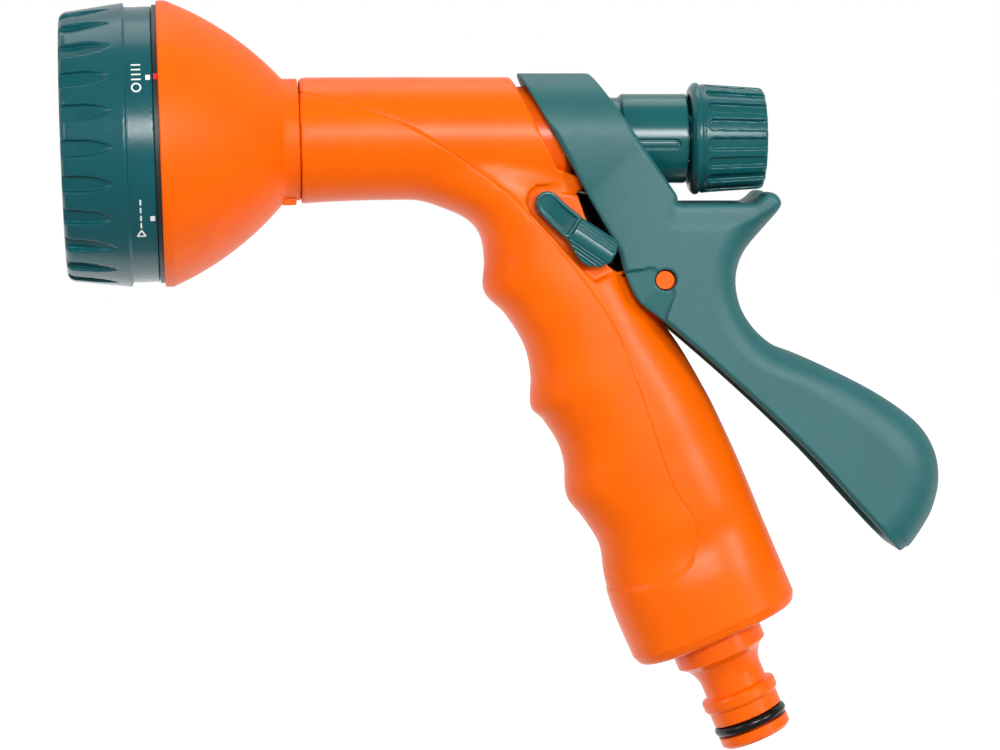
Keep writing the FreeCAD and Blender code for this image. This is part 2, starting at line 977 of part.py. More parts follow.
def make_lever():
    """Squeeze lever: a ring round the valve chamber, two cheeks, a thumb horn and a paddle."""
    half = size("lever_half")
    inner = size("lever_inner")
    plate = feature("LeverPlate", slab(lever_outline(), -BEYOND, BEYOND))
    skin = common_of("LeverSkin", [plate, rounded_bar(half, 20, "LeverOuter")])
    room = feature("LeverRoom", slab(lever_hollow_outline(), -float(inner), float(inner)))
    hollow = common_of("LeverHollow", [room, rounded_bar(inner, 20, "LeverInner")])
    saddle = cylinder("LeverSaddle", size("knob_radius") + 0.7, 24, VALVE.multiply(along_x(-13)))
    bore = size("pin_radius") + size("play")
    hole = cylinder("LeverPivotHole", bore, 40, along_y(*pivot_centre(-20)))
    shell = cut_of("LeverShell", skin, [hollow, saddle, hole])
    lugs = []
    level = float(size("barrel_height"))
    reach = float(size("lug_length"))
    root = float(inner) + 0.3
    for start, name in ((-root, "Near"), (root - reach, "Far")):
        place = along_y(size("lug_x"), start, level)
        lugs.append(cylinder(f"LeverLug{name}", size("lug_radius"), reach, place))
    keep("lever", fuse_of("Lever", [shell] + lugs))
    pin = cylinder(
        "LeverPivotPin", size("pin_radius"), half * 2, along_y(*pivot_centre(-float(half)))
    )
    keep("lever_pivot_pin", pin)


def make_clip():
    """Lock clip: a tapered arm from its pivot to a ribbed thumb block, on a stub pin."""
    inner = -float(size("clip_inner"))
    outer = -float(size("clip_outer"))
    arm_outer = -float(size("clip_arm_outer"))
    arm_points = [(-46.5, 107.1), (-39.7, 99.6), (-35.6, 105.4), (-42.1, 111.3)]
    arm = polygon_slab(arm_points, arm_outer, inner)
    nose = across(size("clip_nose_radius"), clip_centre(arm_outer), inner)
    block_points = [
        (-39.8, 100.3),
        (-37.8, 96.9),
        (-35.1, 95.4),
        (-32.6, 95.5),
        (-30.1, 96.8),
        (-28.8, 100.0),
        (-29.8, 101.5),
        (-36.5, 105.7),
    ]
    block = polygon_slab(block_points, outer, arm_outer + 0.3)
    head_start = 0.3 - float(size("clip_pocket_depth"))
    stub = across(size("clip_pin"), clip_centre(inner - 0.2), head_start + 0.3)
    head = Part.makeCone(2.7, 1.9, 0.9, Vector(*clip_centre(head_start)), Vector(0, 1, 0))
    whole = arm.fuse([nose, block, stub, head]).removeSplitter()
    keep("lock_clip", feature("LockClip", largest_solid(whole)))


# ---------------------------------------------------------------- spray head


def make_bell():
    collar = size("neck_collar_radius")
    rim = size("bell_rim_radius")
    spigot = size("spigot_radius")
    bore = size("spigot_bore")
    groove = size("neck_groove_radius")
    front = size("neck_collar_front")
    turned_part(
        "spray_head_bell",
        HEAD,
        [
            (size("spigot_rear"), bore),
            (size("spigot_rear"), spigot),
            (size("neck_groove_rear"), spigot),
            (size("neck_groove_rear"), groove),
            (size("neck_groove_front"), groove),
            (size("neck_groove_front"), spigot),
            (size("neck_collar_rear"), spigot),
            (size("neck_collar_rear"), collar),
            (front, collar),
            (front - 0.4, collar + 0.2),
            (size("bell_lip"), rim, -float(size("bell_arc"))),
            (size("bell_rim"), rim),
            (size("bell_rim"), rim - 2.0),
            (size("bell_lip") + 1.0, rim - 2.3),
            (front - 1.0, bore + 2.6, 65.0),
            (front + 1.4, bore),
        ],
    )
    wire = size("neck_seal_wire")
    middle = (size("neck_groove_front") + size("neck_groove_rear")) * 0.5
    keep("neck_oring", ring("neck_oring", groove + wire, wire, shifted(HEAD, middle)))


def make_selector_base():
    """Fixed plate that closes the bell, with its water port, hub and detent pocket."""
    face = size("base_face")
    rim = size("bell_rim")
    hub = size("hub_radius")
    body = new_body("SelectorBase", HEAD)
    revolve(
        body,
        "BaseTurned",
        [
            (rim + 2.4, 0.0),
            (rim + 2.4, size("base_ring_radius") - 1.7),
            (rim, size("base_ring_radius") - 1.7),
            (rim, size("base_ring_radius")),
            (face, size("base_ring_radius")),
            (face, hub),
            (size("hub_front"), hub),
            (size("hub_front"), 1.6),
            (face - 0.6, 1.6),
            (face - 0.6, 0.0),
        ],
    )
    boss = body.newObject("PartDesign::AdditiveCylinder", "DetentBoss")
    bind(boss, "Radius", 3.2)
    bind(boss, "Height", 5.0)
    boss.Placement = along_x(rim + 2.0, 0.0, size("detent_ring"))
    body.Tip = boss
    port = along_x(float(face) - 1, size("port_ring"))
    groove_row(body, "Cylinder", "BasePort", 1, port, Radius=size("port_radius"), Height=9)
    pocket = along_x(float(face) - 1, 0.0, size("detent_ring"))
    room = size("ball_radius") + 0.2
    depth = size("detent_depth")
    groove_row(body, "Cylinder", "BallPocket", 1, pocket, Radius=room, Height=depth)
    keep("selector_base", body)

    ball = doc.addObject("Part::Sphere", "DetentBall")
    bind(ball, "Radius", size("ball_radius"))
    ball.Placement = HEAD.multiply(along_x(face + 0.1, 0.0, size("detent_ring")))
    keep("detent_ball", ball)
    place = HEAD.multiply(
        Placement(Vector(float(face) + 2.1, float(size("detent_ring")), 0), Rotation())
    )
    coil_spring("detent_spring", size("detent_radius"), size("spring_wire"), 3.6, 3, place)
    seal = 0.48
    port_place = HEAD.multiply(
        Placement(Vector(float(face) - seal, 0, float(size("port_ring"))), Rotation())
    )
    keep("port_seal", ring("port_seal", size("port_radius") + 1.1, seal, port_place))


def make_dial():
    """Pattern dial: plain rear band, fluted grip, and the rear plate that turns on the hub."""
    rear = size("dial_rear")
    band = size("dial_band_radius")
    step = size("dial_step")
    front = size("dial_front")
    seat = size("face_radius") + 0.1
    hub = size("hub_radius") + size("play")
    body = new_body("DialRing", HEAD)
    revolve(
        body,
        "DialTurned",
        [
            (rear, band - 1.9),
            (rear, band - 0.3),
            (rear - 0.3, band),
            (step, band),
            (step - 0.2, size("dial_grip_radius")),
            (front + 1.6, size("dial_nose_radius")),
            (front, size("dial_lip_radius"), -2.2),
            (front, size("dial_lip_radius") - 1.2),
            (size("face_front"), seat),
            (size("face_rear"), seat),
            (size("face_rear"), seat - 1.2),
            (size("face_rear") + 1.2, seat - 1.2),
            (size("face_rear") + 2.4, seat + 1.4),
            (size("plate_front"), seat + 1.4),
            (size("plate_front"), hub),
            (size("plate_rear"), hub),
            (size("plate_rear"), size("detent_ring") - 2.0),
            (size("plate_rear") - 0.5, size("detent_ring") - 2.0),
            (size("plate_rear") - 0.5, size("detent_ring") + 2.0),
            (size("plate_rear"), size("detent_ring") + 2.0),
            (size("plate_rear"), band - 1.9),
        ],
    )
    slope = float(size("flute_slope"))
    flute_place = Placement(
        Vector(float(front) - 2, 0, 29.7), Rotation(Vector(0, 1, 0), 90 - slope)
    )
    groove_row(
        body, "Cylinder", "Flute", FLUTES, flute_place, Radius=size("flute_radius"), Height=20
    )
    port_place = along_x(size("plate_front") - 1, size("port_ring"))
    groove_row(
        body, "Cylinder", "DialPort", PATTERNS, port_place, Radius=size("port_radius"), Height=5
    )
    keep("dial_ring", body)


def on_face(angle, radius):
    """Point on the spray face, at an angle round the head's axis."""
    turn = math.radians(angle)
    return radius * math.sin(turn), radius * math.cos(turn)


def make_face():
    """Spray face: one group of openings for each of the six patterns."""
    front = size("face_front")
    rear = size("face_rear")
    rim = size("face_radius")
    plate = new_body("SprayFacePlate", HEAD)
    revolve(plate, "FaceTurned", [(front, 0), (front, rim), (rear, rim), (rear, 0)])
    holes = []

    def drill(angle, radius, hole):
        y, z = on_face(angle, radius)
        holes.append(cylinder("SprayHole", hole, 4, HEAD.multiply(along_x(float(front) - 1, z, y))))

    ring_radius = float(size("port_ring"))
    drill(0, ring_radius, 2.6)
    for step in range(12):
        drill(60 + 15 * math.cos(math.radians(30 * step)),
              ring_radius + 4.6 * math.sin(math.radians(30 * step)), 0.6)
    for step in range(3):
        drill(120 - 9 + 9 * step, ring_radius, 0.9)
    for step in range(5):
        drill(180 - 14 + 7 * step, ring_radius + 3, 0.7)
        drill(180 - 12 + 6 * step, ring_radius - 2, 0.7)
    for offset in (-3.4, 0.0, 3.4):
        drill(240, ring_radius + offset, 1.1)
    for angle, offset in ((290, 0), (310, 0), (300, -3.6), (300, 3.6)):
        drill(angle, ring_radius + offset, 1.3)
    keep("spray_face", cut_of("SprayFace", plate, holes))


def make_diverter():
    """Six walled sectors that lead the water from the open port to its pattern."""
    front = size("face_rear") + 0.05
    rear = size("plate_front")
    hub = size("hub_radius") + size("play")
    length = rear - front
    wall = size("diverter_wall")
    radius = size("diverter_radius")
    deep = size("diverter_hub_length")
    inner = radius - wall
    outer = cylinder("DiverterOuter", radius, length, HEAD.multiply(along_x(front)))
    outer_hole = cylinder("DiverterOuterHole", inner, length, HEAD.multiply(along_x(front)))
    rim = cut_of("DiverterRim", outer, [outer_hole])
    boss = cylinder("DiverterBoss", hub + 2.4, deep, HEAD.multiply(along_x(rear - deep)))
    ribs = []
    for step in range(PATTERNS):
        rib = doc.addObject("Part::Box", "DiverterRib")
        bind(rib, "Length", deep)
        bind(rib, "Width", wall)
        bind(rib, "Height", inner - hub)
        turn = Rotation(Vector(1, 0, 0), (step + 0.5) * 360 / PATTERNS)
        rib.Placement = HEAD.multiply(Placement(Vector(), turn)).multiply(
            Placement(Vector(float(rear - deep), -float(wall) / 2, float(hub) + 0.5), Rotation())
        )
        ribs.append(rib)
    bore = cylinder("DiverterBore", hub, deep * 2, HEAD.multiply(along_x(rear - deep * 2)))
    joined = fuse_of("DiverterJoined", [rim, boss] + ribs)
    keep("pattern_diverter", cut_of("PatternDiverter", joined, [bore]))


def make_dial_screw():
    front = size("hub_front")
    turned_part(
        "dial_washer", HEAD, [(front, 1.7), (front, 8.0), (front - 0.8, 8.0), (front - 0.8, 1.7)]
    )
    turned_part(
        "dial_screw",
        HEAD,
        [
            (front + 8.5, 0.0),
            (front + 7.5, 1.5),
            (front - 0.8, 1.5),
            (front - 0.8, 3.4),
            (front - 2.2, 3.4),
            (front - 3.0, 2.4),
            (front - 3.0, 0.0),
        ],
    )


make_shells()
make_end_cap()
make_connector()
make_water_tube()
make_chamber()
make_stem()
make_sleeve()
make_knob()
make_lever()
make_clip()
make_bell()
make_selector_base()
make_dial()
make_face()
make_diverter()
make_dial_screw()
doc.recompute()

for item in doc.Objects:
    if "Invalid" in item.State or "Error" in item.State:
        raise RuntimeError(f"{item.Name} failed: {item.State}")
os.makedirs("parts", exist_ok=True)
for label, made in nodes.items():
    if made.Shape.isNull() or not made.Shape.isValid():
        raise RuntimeError(f"{label} has no valid shape")
for label, made in nodes.items():
    made.Shape.exportStep(f"parts/{label}.step")
    box = made.Shape.BoundBox
    print(f"{label:18s} solids {len(made.Shape.Solids)} volume {made.Shape.Volume:9.1f} "
          f"x {box.XMin:7.1f} {box.XMax:7.1f} y {box.YMin:6.1f} {box.YMax:6.1f} "
          f"z {box.ZMin:6.1f} {box.ZMax:6.1f}")
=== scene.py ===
import json
import math

import bpy
import numpy as np
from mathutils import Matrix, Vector

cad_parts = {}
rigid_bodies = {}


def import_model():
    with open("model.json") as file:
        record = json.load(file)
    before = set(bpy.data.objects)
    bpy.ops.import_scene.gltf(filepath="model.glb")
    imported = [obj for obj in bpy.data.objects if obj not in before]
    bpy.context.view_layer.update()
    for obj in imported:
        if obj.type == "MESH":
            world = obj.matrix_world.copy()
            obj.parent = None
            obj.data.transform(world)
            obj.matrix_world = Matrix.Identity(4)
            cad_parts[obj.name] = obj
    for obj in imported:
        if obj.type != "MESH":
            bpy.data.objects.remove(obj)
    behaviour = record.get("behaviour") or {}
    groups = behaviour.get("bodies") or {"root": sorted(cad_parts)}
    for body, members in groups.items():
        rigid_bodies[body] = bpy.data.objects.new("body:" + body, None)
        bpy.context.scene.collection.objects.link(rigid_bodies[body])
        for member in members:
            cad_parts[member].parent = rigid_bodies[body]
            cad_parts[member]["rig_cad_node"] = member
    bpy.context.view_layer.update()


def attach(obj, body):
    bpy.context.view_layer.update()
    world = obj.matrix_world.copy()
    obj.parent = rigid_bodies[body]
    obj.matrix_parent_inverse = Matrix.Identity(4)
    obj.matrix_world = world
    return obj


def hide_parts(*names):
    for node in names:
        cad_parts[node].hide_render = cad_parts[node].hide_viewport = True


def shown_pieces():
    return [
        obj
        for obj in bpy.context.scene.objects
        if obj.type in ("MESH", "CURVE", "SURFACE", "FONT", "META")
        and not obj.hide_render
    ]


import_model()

MM = 0.001
AROUND = 2 * math.pi

# ---------------------------------------------------------------- distance fields
# A field takes x, y, z in millimetres and is negative inside the shape.


def meet(a, b, edge=0.0):
    """Inside both shapes, with the edge where they cross rounded to a radius."""
    over = np.sqrt(np.maximum(a + edge, 0.0) ** 2 + np.maximum(b + edge, 0.0) ** 2)
    return np.minimum(np.maximum(a, b), -edge) + over


def join(a, b, fillet=0.0):
    """Inside either shape, with a fillet between them."""
    return -meet(-a, -b, fillet)


def cut(a, b, edge=0.0):
    """The first shape without the second."""
    return meet(a, -b, edge)


def between(value, low, high):
    """Inside a slab."""
    return np.maximum(low - value, value - high)


def side_distance(points, x, z):
    """Signed distance in side view to a closed outline."""
    nearest = np.inf
    inside = False
    for (ax, az), (bx, bz) in zip(points, points[1:] + points[:1]):
        run, rise = bx - ax, bz - az
        if run == rise == 0:
            continue
        along = np.clip(((x - ax) * run + (z - az) * rise) / (run**2 + rise**2), 0.0, 1.0)
        gap = (x - ax - run * along) ** 2 + (z - az - rise * along) ** 2
        nearest = np.minimum(nearest, gap)
        if rise:
            passes = (np.minimum(az, bz) <= z) & (z < np.maximum(az, bz))
            inside = inside ^ (passes & (x < ax + (z - az) * run / rise))
    return np.where(inside, -1.0, 1.0) * np.sqrt(nearest)


def curve(points, steps=6):
    """Points of a smooth curve through the given points."""
    given = np.array([points[0], *points, points[-1]], float)
    made = []
    for a, b, c, d in zip(given, given[1:], given[2:], given[3:]):
        for t in np.arange(steps) / steps:
            made.append(
                0.5 * (2 * b + (c - a) * t + (2 * a - 5 * b + 4 * c - d) * t**2
                       + (3 * b - a - 3 * c + d) * t**3)
            )
    made.append(given[-1])
    return [tuple(point) for point in made]


def ease(value, low, high):
    """Rises smoothly from 0 at low to 1 at high."""
    t = np.clip((value - low) / (high - low), 0.0, 1.0)
    return t * t * (3.0 - 2.0 * t)


# ---------------------------------------------------------------- meshes from fields


def settle(points, field, reach, small=0.01, least_slope=0.25):
    """Moves points onto the field's surface, none by more than the reach in one pass."""
    for _ in range(2):
        x, y, z = points.T
        here = field(x, y, z)
        shifted = (field(x + small, y, z), field(x, y + small, z), field(x, y, z + small))
        slope = np.stack([(value - here) / small for value in shifted], 1)
        move = here / np.maximum((slope**2).sum(1), least_slope)
        points = points - np.clip(slope * move[:, None], -reach, reach)
    return points


def net(field, low, high, step):
    """Vertices and quads of the field's surface inside a box, on a grid of the given step."""
    axes = [np.arange(a, b + step, step) for a, b in zip(low, high)]
    shape = tuple(len(axis) for axis in axes)
    values = field(axes[0][:, None, None], axes[1][None, :, None], axes[2][None, None, :])
    values = np.array(np.broadcast_to(values, shape), np.float32)
    for axis in range(3):
        edge = [slice(None)] * 3
        for end in (0, -1):
            edge[axis] = end
            values[tuple(edge)] = step
    inside = values < 0

    cells = tuple(n - 1 for n in shape)
    count = np.zeros(cells, np.int8)
    offsets = [(i, j, k) for i in (0, 1) for j in (0, 1) for k in (0, 1)]
    for i, j, k in offsets:
        count += inside[i:i + cells[0], j:j + cells[1], k:k + cells[2]]
    crossed = (count > 0) & (count < 8)
    index = np.full(cells, -1, np.int64)
    index[crossed] = np.arange(crossed.sum())
    corner = np.argwhere(crossed)
    total = np.zeros((len(corner), 3))
    hits = np.zeros(len(corner))
    for axis in range(3):
        unit = np.eye(3, dtype=int)[axis]
        for offset in offsets:
            if offset[axis]:
                continue
            start = corner + offset
            a = values[tuple(start.T)]
            b = values[tuple((start + unit).T)]
            found = (a < 0) != (b < 0)
            t = np.where(found, a / np.where(found, a - b, 1.0), 0.0)
            total += np.where(found[:, None], start + t[:, None] * unit, 0.0)
            hits += found
    points = np.array(low) + step * total / hits[:, None]

    quads = []
    for axis in range(3):
        u, v = (axis + 1) % 3, (axis + 2) % 3
        before = [slice(None)] * 3
        after = [slice(None)] * 3
        before[axis], after[axis] = slice(0, -1), slice(1, None)
        first, second = inside[tuple(before)], inside[tuple(after)]
        at = np.argwhere(first != second)
        leaving = first[tuple(at.T)]
        back_u = np.eye(3, dtype=int)[u]
        back_v = np.eye(3, dtype=int)[v]
        ring = [at, at - back_u, at - back_u - back_v, at - back_v]
        quad = np.stack([index[tuple(place.T)] for place in ring], 1)
        quads.append(np.where(leaving[:, None], quad, quad[:, ::-1]))
    return settle(points, field, step / 2), np.concatenate(quads)


def barrel_frame(points):
    """From the valve's own frame to the nozzle's."""
    return points + np.array([0.0, 0.0, BARREL_HEIGHT])


def head_frame(points):
    """From the spray head's own frame to the nozzle's."""
    c, s = math.cos(HEAD_TILT), math.sin(HEAD_TILT)
    x, y, z = points.T
    return np.stack([c * x - s * z, y, s * x + c * z], 1) + np.array([*HEAD_PLACE])


def add_piece(name, body, slot, points, faces, *nodes):
    """Puts a mesh given in millimetres on a body, in place of CAD nodes."""
    mesh = bpy.data.meshes.new(name)
    mesh.from_pydata((points * MM).tolist(), [], faces.tolist())
    mesh.shade_smooth()
    mesh.materials.append(MATERIALS[slot])
    obj = bpy.data.objects.new(name, mesh)
    bpy.context.scene.collection.objects.link(obj)
    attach(obj, body)
    if nodes:
        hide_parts(*nodes)
    return obj


# ---------------------------------------------------------------- materials


def new_material(name):
    """A node material, its shader, and the piece's own coordinates in metres."""
    mat = bpy.data.materials.new(name)
    mat.use_nodes = True
    nodes = mat.node_tree.nodes
    shader = next(n for n in nodes if n.type == "BSDF_PRINCIPLED")
    where = nodes.new("ShaderNodeTexCoord")
    return mat, shader, where.outputs["Object"]


def noise(mat, where, scale, detail=2.0):
    """A noise value whose features are about 1/scale metres wide."""
    node = mat.node_tree.nodes.new("ShaderNodeTexNoise")
    node.inputs["Scale"].default_value = scale
    node.inputs["Detail"].default_value = detail
    mat.node_tree.links.new(where, node.inputs["Vector"])
    return node.outputs["Fac"]


def blend_colour(mat, value, low, high):
    """Goes from one colour to the other over the middle of the value's range."""
    node = mat.node_tree.nodes.new("ShaderNodeValToRGB")
    node.color_ramp.elements[0].position = 0.3
    node.color_ramp.elements[1].position = 0.7
    node.color_ramp.elements[0].color = (*low, 1.0)
    node.color_ramp.elements[1].color = (*high, 1.0)
    mat.node_tree.links.new(value, node.inputs["Fac"])
    return node.outputs["Color"]


def spread(mat, value, low, high):
    """Maps 0..1 onto low..high."""
    node = mat.node_tree.nodes.new("ShaderNodeMapRange")
    node.inputs["To Min"].default_value = low
    node.inputs["To Max"].default_value = high
    mat.node_tree.links.new(value, node.inputs["Value"])
    return node.outputs["Result"]


def bump(mat, shader, height, strength, distance):
    """Tilts the surface by a height value, with the given depth in metres."""
    node = mat.node_tree.nodes.new("ShaderNodeBump")
    node.inputs["Strength"].default_value = strength
    node.inputs["Distance"].default_value = distance
    mat.node_tree.links.new(height, node.inputs["Height"])
    mat.node_tree.links.new(node.outputs["Normal"], shader.inputs["Normal"])


CLOUD_SCALE = 90.0
GLOSS_SCALE = 400.0
GLOSS_SPREAD = 0.05
GRAIN_DEPTH = 0.05 * MM


def plastic(name, colour, rough, shine=0.5, grain=0.1, grain_scale=2600.0, vary=0.06):
    """Moulded plastic: a faint cloudiness in its colour, an eroded grain and uneven gloss."""
    mat, shader, where = new_material(name)
    links = mat.node_tree.links
    low = tuple(c * (1.0 - vary) for c in colour)
    high = tuple(min(1.0, c * (1.0 + vary)) for c in colour)
    cloud = noise(mat, where, CLOUD_SCALE)
    links.new(blend_colour(mat, cloud, low, high), shader.inputs["Base Color"])
    gloss = noise(mat, where, GLOSS_SCALE, 3.0)
    gloss = spread(mat, gloss, rough - GLOSS_SPREAD, rough + GLOSS_SPREAD)
    links.new(gloss, shader.inputs["Roughness"])
    shader.inputs["Specular IOR Level"].default_value = shine
    bump(mat, shader, noise(mat, where, grain_scale, 1.0), grain, GRAIN_DEPTH)
    return mat


def paint_shade_in_box(mat, middle, half, colour):
    """Paints shade into the inside of a box, given by its middle and half size in millimetres."""
    nodes, links = mat.node_tree.nodes, mat.node_tree.links
    shader = next(n for n in nodes if n.type == "BSDF_PRINCIPLED")
    value = next(n for n in nodes if n.type == "TEX_COORD").outputs["Object"]
    for operation, amount in (("SUBTRACT", middle), ("DIVIDE", half), ("ABSOLUTE", None)):
        node = nodes.new("ShaderNodeVectorMath")
        node.operation = operation
        links.new(value, node.inputs[0])
        if amount:
            node.inputs[1].default_value = [a * MM for a in amount]
        value = node.outputs["Vector"]
    parts = nodes.new("ShaderNodeSeparateXYZ")
    links.new(value, parts.inputs["Vector"])
    most = parts.outputs["X"]
    for name in ("Y", "Z"):
        node = nodes.new("ShaderNodeMath")
        node.operation = "MAXIMUM"
        links.new(most, node.inputs[0])
        links.new(parts.outputs[name], node.inputs[1])
        most = node.outputs["Value"]
    outside = nodes.new("ShaderNodeMapRange")
    outside.inputs["From Min"].default_value = 0.98
    links.new(most, outside.inputs["Value"])
    mix = nodes.new("ShaderNodeMixRGB")
    links.new(outside.outputs["Result"], mix.inputs["Fac"])
    mix.inputs["Color1"].default_value = (*colour, 1.0)
    links.new(shader.inputs["Base Color"].links[0].from_socket, mix.inputs["Color2"])
    links.new(mix.outputs["Color"], shader.inputs["Base Color"])


def metal(name, colour, rough):
    """Turned metal with fine uneven gloss."""
    mat, shader, where = new_material(name)
    links = mat.node_tree.links
    low = tuple(c * 0.85 for c in colour)
    cloud = noise(mat, where, 300.0)
    links.new(blend_colour(mat, cloud, low, colour), shader.inputs["Base Color"])
    gloss = spread(mat, noise(mat, where, 1500.0), rough - 0.06, rough + 0.1)
    links.new(gloss, shader.inputs["Roughness"])
    shader.inputs["Metallic"].default_value = 1.0
    return mat


# Base colour, roughness, specular level, strength of the grain, and its fineness.
PLASTICS = {
    "orange_housing": ((0.99, 0.134, 0.0), 0.31, 0.20, 0.25, 1500.0),
    "orange_cover": ((0.99, 0.136, 0.0), 0.35, 0.16, 0.25, 1500.0),
    "orange_bell": ((0.99, 0.132, 0.0), 0.42, 0.16, 0.25, 1500.0),
    "orange_fittings": ((0.99, 0.128, 0.0), 0.26, 0.30, 0.1, 1500.0),
    "lever_plastic": ((0.008, 0.114, 0.119), 0.50, 0.62, 0.7, 4000.0),
    "dial_plastic": ((0.003, 0.088, 0.104), 0.24, 0.42),
    "knob_plastic": ((0.004, 0.098, 0.106), 0.22, 0.46),
    "inner_plastic": ((0.75, 0.74, 0.70), 0.45),
    "base_plastic": ((0.020, 0.022, 0.024), 0.45),
    "seal_rubber": ((0.006, 0.006, 0.006), 0.24, 0.35, 0.15, 1500.0),
    "white_print": ((0.86, 0.87, 0.86), 0.5),
    "red_print": ((0.70, 0.02, 0.02), 0.5),
}
MATERIALS = {name: plastic(name, *values) for name, values in PLASTICS.items()}
MATERIALS["steel"] = metal("steel", (0.62, 0.62, 0.60), 0.28)
MATERIALS["brass"] = metal("brass", (0.80, 0.58, 0.25), 0.30)

# Painted shade: inside a box round the hollow of the housing behind the lock clip, the colour is
# painted nearly black to stand in for the shade there.
HOLLOW_MIDDLE = (-32.0, 0.0, 102.0)
HOLLOW_HALF = (7.0, 10.4, 9.0)
HOLLOW_PAINTED_SHADE = (0.012, 0.004, 0.002)
# The housing's colour is painted nearly black here as shade, not as the plastic's own colour.
paint_shade_in_box(MATERIALS["orange_housing"], HOLLOW_MIDDLE, HOLLOW_HALF, HOLLOW_PAINTED_SHADE)

SLOTS = {
    "orange_housing": ("body_housing",),
    "orange_cover": ("grip_cover",),
    "orange_bell": ("spray_head_bell",),
    "orange_fittings": ("handle_end_cap", "hose_connector", "valve_chamber", "lever_pivot_pin"),
    "lever_plastic": ("lever",),
    "dial_plastic": ("dial_ring", "spray_face"),
    "knob_plastic": ("pull_sleeve", "flow_knob", "lock_clip"),
    "inner_plastic": ("water_tube", "valve_seat", "pattern_diverter"),
    "base_plastic": ("selector_base",),
    "seal_rubber": (
        "connector_oring", "tube_orings", "gland_oring", "neck_oring", "valve_washer", "port_seal",
    ),
    "steel": ("return_spring", "detent_ball", "detent_spring", "dial_washer", "dial_screw"),
    "brass": ("valve_stem",),
}

for slot, names in SLOTS.items():
    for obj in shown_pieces():
        if obj.get("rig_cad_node") in names:
            obj.data.materials.clear()
            obj.data.materials.append(MATERIALS[slot])

# ---------------------------------------------------------------- barrel and handle

BARREL_HEIGHT = 122.9
BARREL_RADIUS = 13.45
BARREL_BORE = 11.6
BARREL_END = -20.0

# The barrel widens and drops a little towards the head.
FLARE_START = -75.0
FLARE_RUN = 22.0
FLARE_RISE = 0.35
FLARE_DROP = 0.45
NECK_END = 1.85
NECK_TOP_EDGE = 1.1

HEAD_PLACE = (-99.0, 0.0, 122.7)
HEAD_TILT = math.radians(1.8)
LEAN = math.radians(23.15)
WALL = 2.2

# Height along the handle, front edge, back edge, half depth.
HANDLE_SECTIONS = [
    (10.0, -18.5, 19.9, 15.0),
    (18.4, -18.5, 19.9, 15.0),
    (24.0, -18.6, 19.9, 15.2),
    (28.0, -18.5, 19.9, 15.15),
    (31.0, -18.3, 19.9, 14.8),
    (34.5, -17.8, 19.9, 14.25),
    (37.5, -17.1, 19.95, 14.2),
    (40.8, -16.1, 20.0, 14.65),
    (44.2, -15.7, 20.0, 14.8),
    (50.0, -16.7, 20.0, 14.9),
    (55.8, -18.1, 19.8, 14.9),
    (62.4, -15.9, 19.5, 14.8),
    (67.5, -15.3, 19.0, 14.7),
    (73.4, -16.3, 18.3, 14.6),
    (77.2, -17.6, 17.7, 14.6),
    (83.6, -14.9, 16.4, 14.4),
    (90.2, -13.7, 15.8, 14.2),
    (97.9, -14.8, 14.9, 14.0),
    (104.5, -17.1, 13.6, 13.8),
    (110.5, -14.5, 12.4, 13.6),
    (116.0, -13.1, 10.0, 13.4),
    (121.1, -14.2, 6.6, 13.0),
    (125.5, -16.5, 2.0, 11.8),
    (132.0, -18.5, -6.0, 9.0),
]
SQUARENESS = 2.3

# Heights here are along the handle.
HANDLE_TOP = 131.0
HANDLE_TOP_ROUND = 3.0
HANDLE_FILLET = 6.5
FOOT = 14.6
FOOT_ROUND = 1.9
FOOT_LIP = (16.7, 16.45)
LIP_DEPTH = 0.35
ROOM_TOP = 124.0
ROOM_TOP_ROUND = 2.0
ROOM_NARROWS = 74.0
NARROW_HALF = 9.3

# Outlines in side view.
PARTING_LINE = [
    (-98.8, 133.3), (-88.8, 131.2), (-75.9, 126.9), (-63.0, 119.1), (-51.9, 110.9), (-43.4, 101.6),
    (-34.7, 90.8), (-27.6, 78.8), (-21.5, 62.0), (-16.5, 47.6), (-12.4, 41.3), (-11.1, 36.6),
    (-13.1, 29.6), (-21.3, 25.3), (-31.8, 23.6),
]
BARREL_REAR_CUT = [
    (-52.0, 138.0), (-41.6, 116.5), (-36.4, 114.6), (-35.6, 111.3), (-9.0, 111.3), (-9.0, 138.0),
]
CHEEK_SEAT = [
    (-39.1, 114.3), (-37.4, 111.9), (-32.1, 103.7), (-28.3, 94.3), (-25.3, 87.6), (-20.7, 83.3),
    (1.3, 62.6), (22.0, 62.6), (22.0, 114.3),
]
CLIP_RECESS = [
    (-48.4, 109.0), (-47.9, 111.3), (-46.2, 112.9), (-40.0, 113.4), (-31.3, 104.4), (-26.6, 95.3),
    (-33.3, 91.9), (-35.2, 93.6), (-41.3, 100.2), (-47.4, 106.8),
]
CLIP_WINDOW = [
    (-37.2, 111.2), (-35.6, 112.2), (-30.5, 103.0), (-26.2, 94.5), (-28.4, 94.0), (-30.4, 95.4),
    (-32.5, 99.0), (-35.6, 106.5),
]
PIVOT_BLOCK = [
    (-46.3, 111.1), (-31.5, 111.1), (-15.0, 100.0), (-12.5, 94.5), (-13.1, 88.5), (-16.5, 84.2),
    (-22.6, 88.8), (-26.0, 94.0), (-35.3, 88.5),
]
PIVOT = (-18.3, 92.4)
CLIP_PIVOT = (-43.9, 108.9)
BLOCK_HALF = 11.5
BLOCK_EDGE = 0.5
REAR_EDGE = 0.4
SEAT_ROUND = 2.2
RECESS_FLOOR = 11.7
RECESS_CORNER = 0.5
RECESS_EDGE = 0.45
WINDOW_NEAR = 15.0
WINDOW_FAR = 10.0
WINDOW_EDGE = 0.2
EDGE = 0.3


def handle_axes(x, z):
    """Height along the handle and offset behind its centre line."""
    return z * math.cos(LEAN) - x * math.sin(LEAN), x * math.cos(LEAN) + z * math.sin(LEAN)


